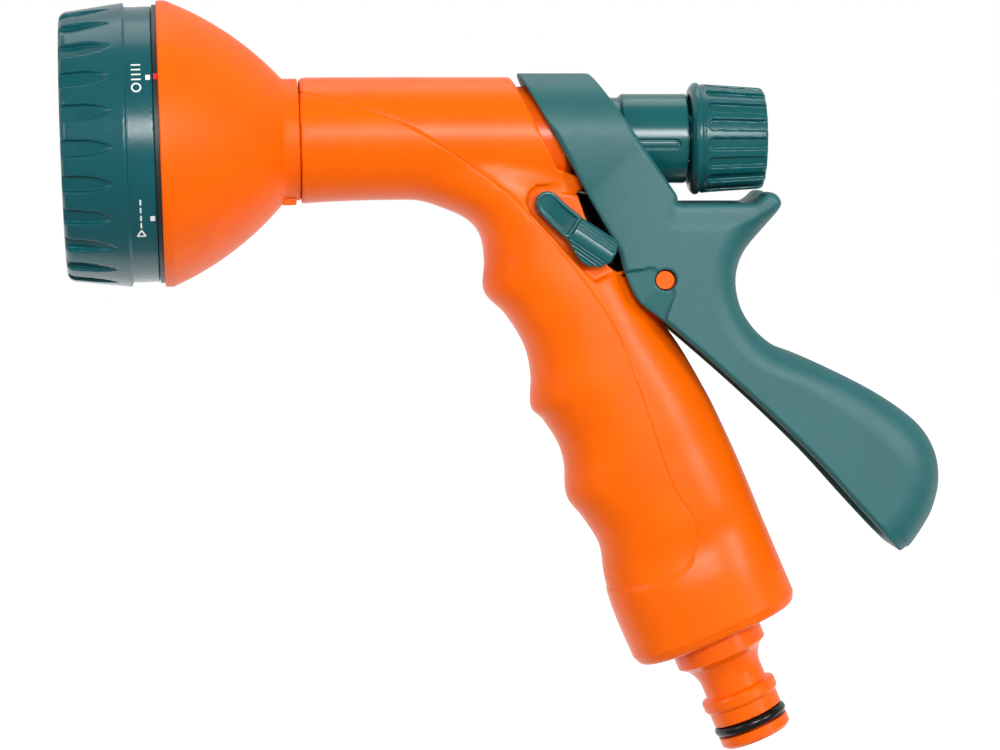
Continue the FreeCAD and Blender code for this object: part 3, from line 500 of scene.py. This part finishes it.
def handle_field(x, y, z, inset=0.0):
    """The grip as a run of rounded sections along its leaning centre line."""
    table = np.array(curve(HANDLE_SECTIONS))
    up, back = handle_axes(x, z)
    front_edge = np.interp(up, table[:, 0], table[:, 1])
    back_edge = np.interp(up, table[:, 0], table[:, 2])
    depth = np.interp(up, table[:, 0], table[:, 3]) - inset
    middle = (front_edge + back_edge) / 2
    half = (back_edge - front_edge) / 2 - inset
    across = np.abs(back - middle) / half
    deep = np.abs(y) / depth
    level = (across**SQUARENESS + deep**SQUARENESS) ** (1 / SQUARENESS)
    radial = np.sqrt((back - middle) ** 2 + y**2)
    side = (1.0 - 1.0 / np.maximum(level, 1e-3)) * radial
    return np.where(level < 0.3, -0.5 * half, side)


def barrel_field(x, y, z, inset=0.0):
    """The barrel, a little wider and lower towards the head."""
    flare = np.clip((FLARE_START - x) / FLARE_RUN, 0.0, 1.0) ** 2
    radial = np.sqrt(y**2 + (z - BARREL_HEIGHT + FLARE_DROP * flare) ** 2)
    return np.maximum(radial - (BARREL_RADIUS + FLARE_RISE * flare - inset), x - BARREL_END)


def whole_field(x, y, z, proud=0.0):
    """The joined barrel and handle, hollowed and cut, before it is parted."""
    up, _ = handle_axes(x, z)
    handle = meet(handle_field(x, y, z, -proud), up - HANDLE_TOP, HANDLE_TOP_ROUND)
    handle = meet(handle + LIP_DEPTH * ease(up, *FOOT_LIP), FOOT - up, FOOT_ROUND)
    shell = join(barrel_field(x, y, z, -proud), handle, HANDLE_FILLET)
    bore = np.sqrt(y**2 + (z - BARREL_HEIGHT) ** 2) - BARREL_BORE
    shell = cut(shell, bore, EDGE)
    room = meet(handle_field(x, y, z, WALL), up - ROOM_TOP, ROOM_TOP_ROUND)
    room = np.where(up > ROOM_NARROWS, meet(room, np.abs(y) - NARROW_HALF, 1.0), room)
    shell = cut(shell, room, EDGE)
    block = meet(side_distance(PIVOT_BLOCK, x, z), np.abs(y) - BLOCK_HALF, BLOCK_EDGE)
    shell = join(shell, block, BLOCK_EDGE)
    shell = cut(shell, side_distance(BARREL_REAR_CUT, x, z), REAR_EDGE)
    seat = meet(side_distance(CHEEK_SEAT, x, z), BLOCK_HALF - np.abs(y))
    shell = cut(shell, seat, SEAT_ROUND)
    recess = meet(side_distance(CLIP_RECESS, x, z) + RECESS_CORNER, y + RECESS_FLOOR)
    shell = cut(shell, recess - RECESS_CORNER, RECESS_EDGE)
    window = np.maximum(side_distance(CLIP_WINDOW, x, z), between(y, -WINDOW_NEAR, WINDOW_FAR))
    shell = cut(shell, window, WINDOW_EDGE)
    c, s = math.cos(HEAD_TILT), math.sin(HEAD_TILT)
    ahead = (x - HEAD_PLACE[0]) * c + (z - HEAD_PLACE[2]) * s
    return meet(shell, NECK_END - ahead, EDGE + NECK_TOP_EDGE * ease(z, 127.0, 134.0))


BEYOND_HEAD = -115.0
SEAM_GAP = 0.01
SEAM_ROUND = 0.12
TONGUE_REACH = 0.9
TONGUE_DEPTH = 0.24
COVER_STEP = 0.1
COVER_FOOT_STEP = 0.25


def parting(x, z):
    """Distance behind the parting line; negative on the cover's side."""
    first, last = PARTING_LINE[0], PARTING_LINE[-1]
    front = curve(PARTING_LINE) + [(BEYOND_HEAD, last[1]), (BEYOND_HEAD, first[1])]
    return side_distance(front, x, z)


def housing_field(x, y, z):
    """The rear shell, with a tongue behind the seam."""
    whole = whole_field(x, y, z)
    line = parting(x, z)
    tongue = np.maximum(whole + TONGUE_DEPTH, np.abs(line) - TONGUE_REACH)
    return np.minimum(meet(whole, SEAM_GAP - line, SEAM_ROUND), tongue)


def cover_field(x, y, z):
    """The front shell, which stands out a little, more so at the foot."""
    up, _ = handle_axes(x, z)
    step = COVER_STEP + COVER_FOOT_STEP * ease(up, 40.0, 28.0)
    return meet(whole_field(x, y, z, -step), SEAM_GAP + parting(x, z), SEAM_ROUND)


SHELL_STEP = 0.45
points, faces = net(housing_field, (-99.5, -16.5, 2.0), (13.0, 16.5, 138.5), SHELL_STEP)
add_piece("housing_shell", "housing", "orange_housing", points, faces, "body_housing")
points, faces = net(cover_field, (-99.5, -16.5, 12.0), (0.5, 16.5, 135.0), SHELL_STEP)
add_piece("front_cover", "housing", "orange_cover", points, faces, "grip_cover")

# ---------------------------------------------------------------- lever

LEVER_HALF = 14.3
LEVER_INNER = 12.0
FLANK_BEND = 120.0
CHEEK_START = -23.4
CHEEK_BEND = 0.0097
PALM_ROUND = 6.3
HORN_ROUND = 1.7
PADDLE_ROUND = 8.9
ROOM_ROUND = 4.0
SADDLE_RADIUS = 13.0
SADDLE_FRONT = -13.6
PIN_HOLE = 2.3
PIN_PLAY = 0.25
BEVEL_SLOPE = 0.72
BEVEL_SIZE = 0.6
RAMP_SLOPE = 0.14
RAMP_SIDE_SLOPE = 0.02
RAMP_STEP = 0.06
RAMP_DEEPEST = 1.2
LEVER_TIP = (-50.4, 138.5)
LEVER_FRONT = [
    [LEVER_TIP, (-31.1, 103.8)],
    [(-31.1, 103.8), (-28.4, 98.7), (-27.2, 94.5), (-24.1, 88.0), (-19.6, 84.3)],
    [(-19.6, 84.3), (-10.6, 76.7), (-1.9, 69.1), (6.9, 61.0), (15.8, 52.2), (24.6, 42.5),
     (33.0, 33.6), (34.4, 32.7), (35.9, 32.9)],
]
LEVER_PALM = [
    (35.9, 32.9), (37.0, 33.5), (39.6, 37.2), (42.0, 41.8), (43.3, 48.2), (42.1, 55.0), (37.7, 61.2),
    (27.9, 68.0), (14.4, 74.7), (5.5, 78.4), (-0.1, 84.4), (-2.1, 91.4), (-0.6, 97.9),
    (4.6, 104.4), (7.2, 108.2), (6.9, 110.2), (5.4, 111.4), (3.8, 111.2), (2.6, 110.1), (1.2, 109.2),
    (0.2, 109.1),
]
LEVER_TOP = [
    (-13.2, 109.1), (-14.4, 109.5), (-15.5, 110.6), (-32.4, 135.2), (-34.6, 137.4), (-37.0, 138.5),
]
LEVER_ROOM = [
    (0.5, 108.0), (-3.2, 100.1), (-4.6, 91.4), (-2.4, 83.0), (4.0, 76.4), (13.3, 72.4),
    (26.8, 65.6), (35.7, 59.4), (39.9, 53.7), (40.7, 48.1), (38.5, 41.4), (33.9, 36.6),
]
SNAP_RAMP = [
    (-27.5, 94.0), (-23.6, 94.6), (-20.6, 95.2), (-19.9, 94.4), (-18.3, 92.4), (-16.9, 90.8),
    (-15.9, 89.8), (-17.9, 84.3), (-18.5, 82.0), (-26.0, 84.0),
]


def lever_sheath(x, y, z, half):
    """Cheeks of the given half width, bent in slightly, under a half round over the barrel."""
    above = np.sqrt(y**2 + (z - BARREL_HEIGHT) ** 2) - half
    flank = half - (BARREL_HEIGHT - z) ** 2 / FLANK_BEND
    cheek = half - 0.05 - CHEEK_BEND * np.maximum(0.0, CHEEK_START - x) ** 2
    return np.where(z > BARREL_HEIGHT, above, np.abs(y) - np.maximum(flank, cheek))


def lever_outlines():
    """Side views of the whole lever, of all that lies ahead of its palm side, and of its room."""
    front = []
    for span in LEVER_FRONT:
        front += curve(span) if len(span) > 2 else span
    palm = curve(LEVER_PALM, 5)
    whole = front + palm[1:] + curve(LEVER_TOP)[:-1] + [LEVER_TIP]
    ahead = palm + [(-15.4, 109.1), (-15.4, 160.0), (-90.0, 160.0), (-90.0, -20.0), (35.9, -20.0)]
    room = [(0.0, 112.0), *curve(LEVER_ROOM), (30.0, 20.0), (-70.0, 20.0), (-70.0, 145.0)]
    return whole, ahead, room + [(-13.0, 145.0), (-13.0, 112.0)]


def lever_field(x, y, z):
    """A hollow lever: cheeks, a strap over the barrel, and a rounded palm side."""
    whole, ahead, hollow = lever_outlines()
    outline = side_distance(whole, x, z)
    palm_round = PALM_ROUND + (HORN_ROUND - PALM_ROUND) * ease(z, 103.0, 109.5)
    palm_round = palm_round + (PADDLE_ROUND - PALM_ROUND) * ease(z, 72.0, 55.0)
    skin = meet(side_distance(ahead, x, z), lever_sheath(x, y, z, LEVER_HALF), palm_round)
    skin = meet(skin, outline, 0.4)
    skin = meet(skin, BEVEL_SLOPE * (outline + np.abs(y) - LEVER_HALF) + BEVEL_SIZE, 0.1)
    room = meet(side_distance(hollow, x, z), lever_sheath(x, y, z, LEVER_INNER), ROOM_ROUND)
    shell = cut(skin, room, 0.35)
    saddle = np.sqrt(y**2 + (z - BARREL_HEIGHT) ** 2) - SADDLE_RADIUS
    shell = cut(shell, np.maximum(saddle, SADDLE_FRONT - x), 0.4)
    round_pin = np.sqrt((x - PIVOT[0] - PIN_PLAY) ** 2 + (z - PIVOT[1]) ** 2)
    shell = cut(shell, round_pin - PIN_HOLE, 0.25)
    ahead_of_pin, below_pin = PIVOT[0] - x, PIVOT[1] - z
    forward = RAMP_SLOPE * ahead_of_pin + RAMP_SIDE_SLOPE * below_pin
    downward = RAMP_SIDE_SLOPE * ahead_of_pin + RAMP_SLOPE * below_pin
    depth = RAMP_STEP + np.clip(np.maximum(forward, downward), 0.0, RAMP_DEEPEST)
    ramp = np.maximum(side_distance(SNAP_RAMP, x, z), LEVER_HALF - depth - np.abs(y))
    return cut(shell, ramp, 0.05)


LEVER_STEP = 0.42
points, faces = net(lever_field, (-52.0, -15.5, 31.0), (45.5, 15.5, 139.5), LEVER_STEP)
add_piece("squeeze_lever", "lever", "lever_plastic", points, faces, "lever")

# ---------------------------------------------------------------- lock clip, on the near side

CLIP_ARM = [
    (-46.5, 108.9), (-46.1, 110.6), (-44.9, 111.6), (-43.5, 111.7), (-42.2, 111.1), (-39.8, 108.8),
    (-36.3, 106.0), (-39.5, 101.0), (-42.6, 103.9), (-45.8, 107.2),
]
CLIP_BLOCK = [
    (-36.5, 106.0), (-32.4, 103.4), (-29.2, 101.3), (-28.7, 100.1), (-29.1, 98.4), (-30.2, 96.5),
    (-32.4, 95.3), (-34.8, 95.3), (-36.7, 96.4), (-38.1, 98.4), (-39.6, 101.1),
]
CLIP_RUN = (0.828, -0.560)
CLIP_FACE = -15.0
CLIP_BACK = -12.0
PANEL_EDGE = 0.9
PANEL_DISH = 0.75
BLOCK_CROWN = -16.6
BLOCK_BACK = -14.7
BLOCK_BEND = 0.075
RIB_MIDDLE = 2.0
RIB_PITCH = 0.72
RIB_HEIGHT = 0.11
STUB_RADIUS = 2.0
STUB_SPAN = (-12.6, -7.6)
STUB_HEAD = 2.7
STUB_HEAD_CONE = 0.6
STUB_HEAD_SPAN = (-8.2, -7.4)


def clip_field(x, y, z):
    """A flat arm with a dished panel, a ribbed thumb block, and the stub that it turns on."""
    from_pivot = (x - CLIP_PIVOT[0], z - CLIP_PIVOT[1])
    along = from_pivot[0] * CLIP_RUN[0] + from_pivot[1] * CLIP_RUN[1]
    across = from_pivot[1] * CLIP_RUN[0] - from_pivot[0] * CLIP_RUN[1]
    arm_side = side_distance(CLIP_ARM, x, z)
    arm = meet(arm_side, between(y, CLIP_FACE, CLIP_BACK), 0.3)
    dish = PANEL_DISH * ease(along, -1.5, 6.5)
    arm = cut(arm, np.maximum(arm_side + PANEL_EDGE, y - CLIP_FACE - 0.05 - dish), 0.25)

    middle = across + RIB_MIDDLE
    ribbed = ease(np.abs(middle), 1.2, 1.5) * ease(np.abs(middle), 4.3, 4.0)
    wave = 1.0 + np.cos(AROUND * middle / RIB_PITCH)
    face = BLOCK_CROWN + BLOCK_BEND * middle**2 + RIB_HEIGHT * ribbed * wave
    block = meet(side_distance(CLIP_BLOCK, x, z), between(y, face, BLOCK_BACK), 0.25)

    hub = np.sqrt(from_pivot[0] ** 2 + from_pivot[1] ** 2)
    stub = np.maximum(hub - STUB_RADIUS, between(y, *STUB_SPAN))
    cone = hub - STUB_HEAD + np.abs(y - STUB_HEAD_SPAN[0]) * STUB_HEAD_CONE
    head = np.maximum(cone, between(y, *STUB_HEAD_SPAN))
    return join(join(arm, block, 0.1), join(stub, head), 0.1)


points, faces = net(clip_field, (-47.5, -17.2, 94.3), (-27.7, -6.8, 112.7), 0.2)
add_piece("clip_tab", "clip", "knob_plastic", points, faces, "lock_clip")

# ---------------------------------------------------------------- knob and sleeve, in the valve's frame

KNOB_GROOVES = 17
GROOVE_START = -7.2
GROOVE_HALF = 1.3
GROOVE_DEPTH = 1.05
GROOVE_RING = 11.6
STEM_HOLE = 2.66
KNOB_SIDE = (-8.95, 11.95)
KNOB_TAPER = 0.067
KNOB_RIM = [
    (-11.9, -8.0), (-11.9, 10.2), (-11.6, 11.2), (-11.0, 12.0), (-10.4, 12.3), (-9.85, 12.2),
    (-9.5, 11.75), (-9.2, 11.7), KNOB_SIDE, (3.7, 11.1), (4.4, 10.8), (4.7, 10.2), (4.7, -8.0),
]
KNOB_CUP = [(-13.0, 5.1), (-13.0, 9.9), (2.6, 9.1), (2.6, 5.1)]


def spaced(turn, count):
    """Angle from the nearest of a count of evenly spaced features, the first at zero."""
    pitch = AROUND / count
    return np.mod(turn + pitch / 2, pitch) - pitch / 2


def knob_field(x, y, z):
    """A cup with a beaded rim and tapered sides, grooved from behind the bead to the end."""
    radius = np.sqrt(y**2 + z**2)
    solid = side_distance(KNOB_RIM, x, radius)
    solid = cut(solid, side_distance(KNOB_CUP, x, radius), 0.4)
    solid = cut(solid, np.maximum(radius - STEM_HOLE, x - 2.4))
    arc = spaced(np.arctan2(z, -y) + AROUND / 4, KNOB_GROOVES) * GROOVE_RING
    start = np.sqrt((x - GROOVE_START) ** 2 + arc**2)
    slot = np.where(x > GROOVE_START, np.abs(arc), start) - GROOVE_HALF
    surface = KNOB_SIDE[1] - KNOB_TAPER * (x - KNOB_SIDE[0])
    return cut(solid, np.maximum(slot * 0.9, surface - GROOVE_DEPTH - radius), 0.14)


points, faces = net(knob_field, (-12.6, -12.8, -12.8), (5.4, 12.8, 12.8), 0.24)
add_piece("knob_cup", "knob", "knob_plastic", barrel_frame(points), faces, "flow_knob")

SLEEVE_PROFILE = [
    (-34.0, 8.3), (-34.0, 9.0), (-27.4, 9.0), (-26.6, 9.8), (-12.6, 9.8), (-12.6, 2.6),
    (-14.4, 2.6), (-14.4, 8.3),
]
EAR_LENGTH = (-33.7, -31.2)
EAR_DEPTH = (8.5, 11.2)
EAR_HEIGHT = (-5.6, 3.0)
SLOT_MIDDLE = (-19.6, -1.1)
SLOT_REACH = 4.1
SLOT_HALF = 1.05
SLOT_GROOVE = 0.42
SLOT_GROOVE_FLOOR = 9.1
SLOT_FLOOR = 9.45


def sleeve_field(x, y, z):
    """The sleeve with an ear on each side for the lever, and a grooved slot in each flank."""
    tube = side_distance(SLEEVE_PROFILE, x, np.sqrt(y**2 + z**2))
    ear = np.maximum(between(x, *EAR_LENGTH), between(np.abs(y), *EAR_DEPTH))
    ear = np.maximum(ear, between(z, *EAR_HEIGHT))
    reach = np.maximum(np.abs(x - SLOT_MIDDLE[0]) - SLOT_REACH, 0.0)
    slot = np.sqrt(reach**2 + (z - SLOT_MIDDLE[1]) ** 2) - SLOT_HALF
    groove = np.maximum(between(slot, -SLOT_GROOVE, 0.0), SLOT_GROOVE_FLOOR - np.abs(y))
    shallow = np.maximum(slot, SLOT_FLOOR - np.abs(y))
    return cut(cut(join(tube, ear, 0.2), groove, 0.1), shallow, 0.1)


points, faces = net(sleeve_field, (-34.6, -11.8, -10.4), (-12.0, 11.8, 10.4), 0.3)
add_piece("sleeve", "valve", "knob_plastic", barrel_frame(points), faces, "pull_sleeve")

# ---------------------------------------------------------------- pattern dial, in the head's frame

FLUTES = 24
FLUTE_END = -38.4
FLUTE_POINT = 7.0
FLUTE_HALF = 1.75
FLUTE_DEPTH = 1.15
FLUTE_RING = 29.5
DIAL_SIDE = (-35.65, 30.9)
DIAL_TAPER = 0.126
DIAL_PROFILE = [
    (-29.5, 28.0), (-29.5, 29.85), (-29.6, 29.95), (-35.3, 29.95), (-35.45, 30.1), (-35.45, 30.7),
    DIAL_SIDE, (-48.0, 29.35), (-48.8, 29.0), (-49.35, 28.3), (-49.5, 27.5), (-49.5, 26.5),
    (-48.0, 25.8), (-46.2, 25.8), (-46.2, 24.6), (-45.0, 24.6), (-43.8, 27.2), (-32.6, 27.2),
    (-32.6, 6.06), (-30.4, 6.06), (-30.4, 28.0),
]
PATTERNS = 6
PORT_RING = 17.0
PORT_RADIUS = 4.5


def dial_field(x, y, z):
    """The dial's ring and web, with leaf-shaped flutes round it and a port for each pattern."""
    radius = np.sqrt(y**2 + z**2)
    turn = np.arctan2(z, -y)
    arc = spaced(turn, FLUTES) * FLUTE_RING
    reach = np.clip((FLUTE_END - x) / FLUTE_POINT, 0.0, 1.6)
    point = np.minimum(reach, 1.0)
    half = FLUTE_HALF * np.sin(point * math.pi / 2) ** 0.8 + 0.1 * np.maximum(reach - 1.0, 0.0)
    wall = (np.abs(arc) - half) * 0.8
    side = DIAL_SIDE[1] - DIAL_TAPER * (DIAL_SIDE[0] - x)
    floor = side - FLUTE_DEPTH * point**0.6
    leaf = np.maximum(np.maximum(wall, (floor - radius) * 0.95), x - FLUTE_END)
    ring = cut(side_distance(DIAL_PROFILE, x, radius), leaf, 0.12)
    port = spaced(turn - AROUND / 4, PATTERNS)
    away = np.sqrt((radius * np.cos(port) - PORT_RING) ** 2 + (radius * np.sin(port)) ** 2)
    return cut(ring, away - PORT_RADIUS, 0.1)


points, faces = net(dial_field, (-50.2, -31.6, -31.6), (-28.8, 31.6, 31.6), 0.36)
add_piece("dial_grip", "dial", "dial_plastic", head_frame(points), faces, "dial_ring")

# ---------------------------------------------------------------- bell, in the head's frame


def bow(start, end, radius, steps=40):
    """Points of an arc of the given radius from start to end, without the start.

    A positive radius bulges to the left of the way from start to end.
    """
    (ax, ar), (bx, br) = start, end
    chord = math.hypot(bx - ax, br - ar)
    height = math.copysign(math.sqrt(radius**2 - chord**2 / 4), radius)
    cx = (ax + bx) / 2 + (br - ar) / chord * height
    cr = (ar + br) / 2 - (bx - ax) / chord * height
    first = math.atan2(ar - cr, ax - cx)
    sweep = math.remainder(math.atan2(br - cr, bx - cx) - first, AROUND)
    turns = [first + sweep * i / steps for i in range(1, steps + 1)]
    return [(cx + abs(radius) * math.cos(t), cr + abs(radius) * math.sin(t)) for t in turns]


def lathe(profile, segments=288):
    """A closed outline of (along, radius) turned round the axis."""
    points, faces = [], []
    for along, radius in profile:
        for i in range(segments):
            turn = AROUND * i / segments
            points.append((along, -radius * math.cos(turn), radius * math.sin(turn)))
    for ring in range(len(profile)):
        here, there = ring * segments, (ring + 1) % len(profile) * segments
        for i in range(segments):
            j = (i + 1) % segments
            faces.append((here + i, there + i, there + j, here + j))
    return np.array(points), np.array(faces)


COLLAR = 13.3
BELL_RADIUS = 31.18
bell_outside = bow((-1.8, COLLAR + 0.2), (-26.6, BELL_RADIUS), -67.0)
bell_inside = bow((-25.8, 28.9), (-2.8, 11.4), 65.0)
bell_profile = [
    (12.0, 8.8), (12.0, 11.1), (8.4, 11.1), (8.4, 9.9), (6.4, 9.9), (6.4, 11.1), (1.7, 11.1),
    (1.7, COLLAR - 0.25), (1.45, COLLAR), (-1.4, COLLAR), (-1.8, COLLAR + 0.2), *bell_outside,
    (-28.15, BELL_RADIUS), (-28.4, 30.95), (-28.4, 29.2), (-25.8, 28.9), *bell_inside, (-0.4, 8.8),
]
points, faces = lathe(bell_profile)
bell = add_piece("bell", "housing", "orange_bell", head_frame(points), faces, "spray_head_bell")
bell.data.set_sharp_from_angle(angle=math.radians(32.0))


CATCH_LENGTH = (-2.4, 0.7)
CATCH_HALF = 3.6
CATCH_HEIGHT = (-14.2, -12.5)
CATCH_CORNER = 0.2


def catch_field(x, y, z):
    """The small catch under the collar."""
    slab = np.maximum(between(x, *CATCH_LENGTH), np.abs(y) - CATCH_HALF)
    layer = between(z, *CATCH_HEIGHT)
    return meet(slab + CATCH_CORNER, layer + CATCH_CORNER, 0.3) - CATCH_CORNER


points, faces = net(catch_field, (-3.0, -4.4, -15.1), (1.4, 4.4, -11.9), 0.2)
add_piece("collar_catch", "housing", "orange_bell", head_frame(points), faces)

# ---------------------------------------------------------------- printed marks on the dial

BAND = 29.95
BASE_RADIUS = 30.3
PRINT = 0.04
PRINT_ROOT = 0.2


def band_patch(outlines, radius, angle):
    """Thin raised print on the head's side: outlines as (along the axis, round the rim) in mm."""
    points, faces = [], []
    for outline in outlines:
        start = len(points)
        count = len(outline)
        for height in (radius - PRINT_ROOT, radius + PRINT):
            for along, around in outline:
                turn = angle + around / radius
                points.append((along, -height * math.cos(turn), height * math.sin(turn)))
        faces.append([start + i for i in range(count)])
        faces.append([start + count + i for i in reversed(range(count))])
        for i in range(count):
            j = (i + 1) % count
            faces.append([start + j, start + i, start + count + i, start + count + j])
    return np.array(points), faces


def stroke(start, end, width=0.34):
    """Outline of a short straight line."""
    (ax, ay), (bx, by) = start, end
    length = math.hypot(bx - ax, by - ay)
    nx, ny = -(by - ay) / length * width / 2, (bx - ax) / length * width / 2
    return [(ax - nx, ay - ny), (bx - nx, by - ny), (bx + nx, by + ny), (ax + nx, ay + ny)]


def strokes(points):
    """Outlines of the straight lines that join the points in turn."""
    return [stroke(a, b) for a, b in zip(points, points[1:])]


def loop(middle, radius, sides=12):
    """Points of a closed ring."""
    turns = [AROUND * i / sides for i in range(sides + 1)]
    return [(middle[0] + radius * math.cos(t), middle[1] + radius * math.sin(t)) for t in turns]


MARK_LINE = -33.0
FIRST_MARK = math.radians(29.0)
MARK_DOT = [(-31.0, -0.6), (-30.0, -0.6), (-30.0, 0.6), (-31.0, 0.6)]
INDEX_DOT = [(-29.35, -0.7), (-28.45, -0.7), (-28.45, 0.7), (-29.35, 0.7)]

# One small sign for each spray pattern, about the mark line.
PICTOGRAMS = [
    strokes(loop((0.0, -2.3), 0.95)) + [stroke((-1.0, v), (1.0, v)) for v in (-0.4, 0.8, 2.0, 3.2)],
    [stroke((0.0, -3.0 + 1.4 * i), (0.0, -2.2 + 1.4 * i)) for i in range(5)],
    strokes([(-1.0, 2.8), (0.0, -2.8), (1.0, 2.8), (-1.0, 2.8)]),
    strokes(loop((0.0, 0.0), 1.0)) + strokes(loop((0.0, 2.6), 0.6)),
    [stroke((-1.0, -2.0 + i), (1.0, -2.0 + i)) for i in range(5)],
    strokes([(-0.9, -4.6), (0.9, -4.6), (0.0, -3.0), (-0.9, -4.6)])
    + [stroke((0.0, v), (0.0, v + 1.3)) for v in (-2.4, -0.5, 1.4, 3.3)],
]
print_points, print_faces = [], []
for number, pictogram in enumerate(PICTOGRAMS):
    angle = FIRST_MARK + AROUND * number / PATTERNS
    shapes = [[(MARK_LINE + u, v) for u, v in outline] for outline in pictogram]
    points, faces = band_patch([*shapes, MARK_DOT], BAND, angle)
    print_faces += [[len(print_points) + i for i in face] for face in faces]
    print_points += list(points)


def add_print(name, body, material, points, faces):
    """Puts print, given in the head's frame in millimetres, on a body."""
    mesh = bpy.data.meshes.new(name)
    mesh.from_pydata((head_frame(np.array(points)) * MM).tolist(), [], faces)
    mesh.materials.append(MATERIALS[material])
    obj = bpy.data.objects.new(name, mesh)
    bpy.context.scene.collection.objects.link(obj)
    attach(obj, body)


add_print("pattern_marks", "dial", "white_print", print_points, print_faces)
index_print = band_patch([INDEX_DOT], BASE_RADIUS, FIRST_MARK)
add_print("index_mark", "housing", "red_print", *index_print)

# ---------------------------------------------------------------- camera, light and floor

AIM = Vector((-0.0532, 0.0, 0.0710))
EYE = Vector((-0.1233, -0.9850, 0.1349))

camera = bpy.data.objects.new("camera", bpy.data.cameras.new("camera"))
bpy.context.scene.collection.objects.link(camera)
camera.location = EYE
camera.rotation_mode = "QUATERNION"
camera.rotation_quaternion = (AIM - EYE).to_track_quat("-Z", "Y")
camera.data.sensor_width = 36.0
camera.data.lens = 162.0
bpy.context.scene.camera = camera


def softbox(name, place, width, height, power):
    """A soft rectangular light turned to the nozzle."""
    light = bpy.data.lights.new(name, "AREA")
    light.shape = "RECTANGLE"
    light.size = width
    light.size_y = height
    light.energy = power
    obj = bpy.data.objects.new(name, light)
    bpy.context.scene.collection.objects.link(obj)
    obj.location = place
    obj.rotation_mode = "QUATERNION"
    obj.rotation_quaternion = (AIM - Vector(place)).to_track_quat("-Z", "Y")


softbox("key", (0.05, -1.15, 0.42), 0.5, 0.30, 9.5)
softbox("left", (-1.0, -0.55, 0.35), 0.4, 0.5, 2.0)
softbox("right", (0.80, -0.90, 0.42), 0.35, 0.36, 5.5)
softbox("top", (-0.1, 0.35, 1.15), 0.9, 0.6, 3.0)

# The studio is white to the camera. On the nozzle it shines less from in front than from behind.
FRONT_GLOW, BACK_GLOW = 0.30, 0.8
world = bpy.data.worlds.new("studio")
world.use_nodes = True
nodes = world.node_tree.nodes
links = world.node_tree.links
glow = nodes["Background"]
where = nodes.new("ShaderNodeTexCoord")
parts = nodes.new("ShaderNodeSeparateXYZ")
links.new(where.outputs["Generated"], parts.inputs["Vector"])
behind = nodes.new("ShaderNodeMapRange")
behind.interpolation_type = "SMOOTHSTEP"
behind.inputs["From Min"].default_value = -0.15
behind.inputs["From Max"].default_value = 0.45
behind.inputs["To Min"].default_value = FRONT_GLOW
behind.inputs["To Max"].default_value = BACK_GLOW
links.new(parts.outputs["Y"], behind.inputs["Value"])
seen = nodes.new("ShaderNodeLightPath")
pick = nodes.new("ShaderNodeMix")
links.new(seen.outputs["Is Camera Ray"], pick.inputs["Factor"])
links.new(behind.outputs["Result"], pick.inputs["A"])
pick.inputs["B"].default_value = 1.0
links.new(pick.outputs["Result"], glow.inputs["Strength"])
glow.inputs["Color"].default_value = (1.0, 1.0, 1.0, 1.0)
bpy.context.scene.world = world
bpy.context.scene.view_settings.view_transform = "Standard"

FLOOR_HEIGHT = -0.35
FLOOR_START = 0.1
FLOOR_REACH = 9.0
floor_mesh = bpy.data.meshes.new("floor")
corners = [
    (-FLOOR_REACH, FLOOR_START, FLOOR_HEIGHT), (FLOOR_REACH, FLOOR_START, FLOOR_HEIGHT),
    (FLOOR_REACH, FLOOR_REACH, FLOOR_HEIGHT), (-FLOOR_REACH, FLOOR_REACH, FLOOR_HEIGHT),
]
floor_mesh.from_pydata(corners, [], [(0, 1, 2, 3)])
floor = bpy.data.objects.new("floor", floor_mesh)
bpy.context.scene.collection.objects.link(floor)
pale = plastic("pale_floor", (0.92, 0.92, 0.92), 0.8, grain=0.0, vary=0.01)
pale_shader = next(n for n in pale.node_tree.nodes if n.type == "BSDF_PRINCIPLED")
pale_shader.inputs["Emission Color"].default_value = (1.0, 1.0, 1.0, 1.0)
pale_shader.inputs["Emission Strength"].default_value = 0.7
floor_mesh.materials.append(pale)
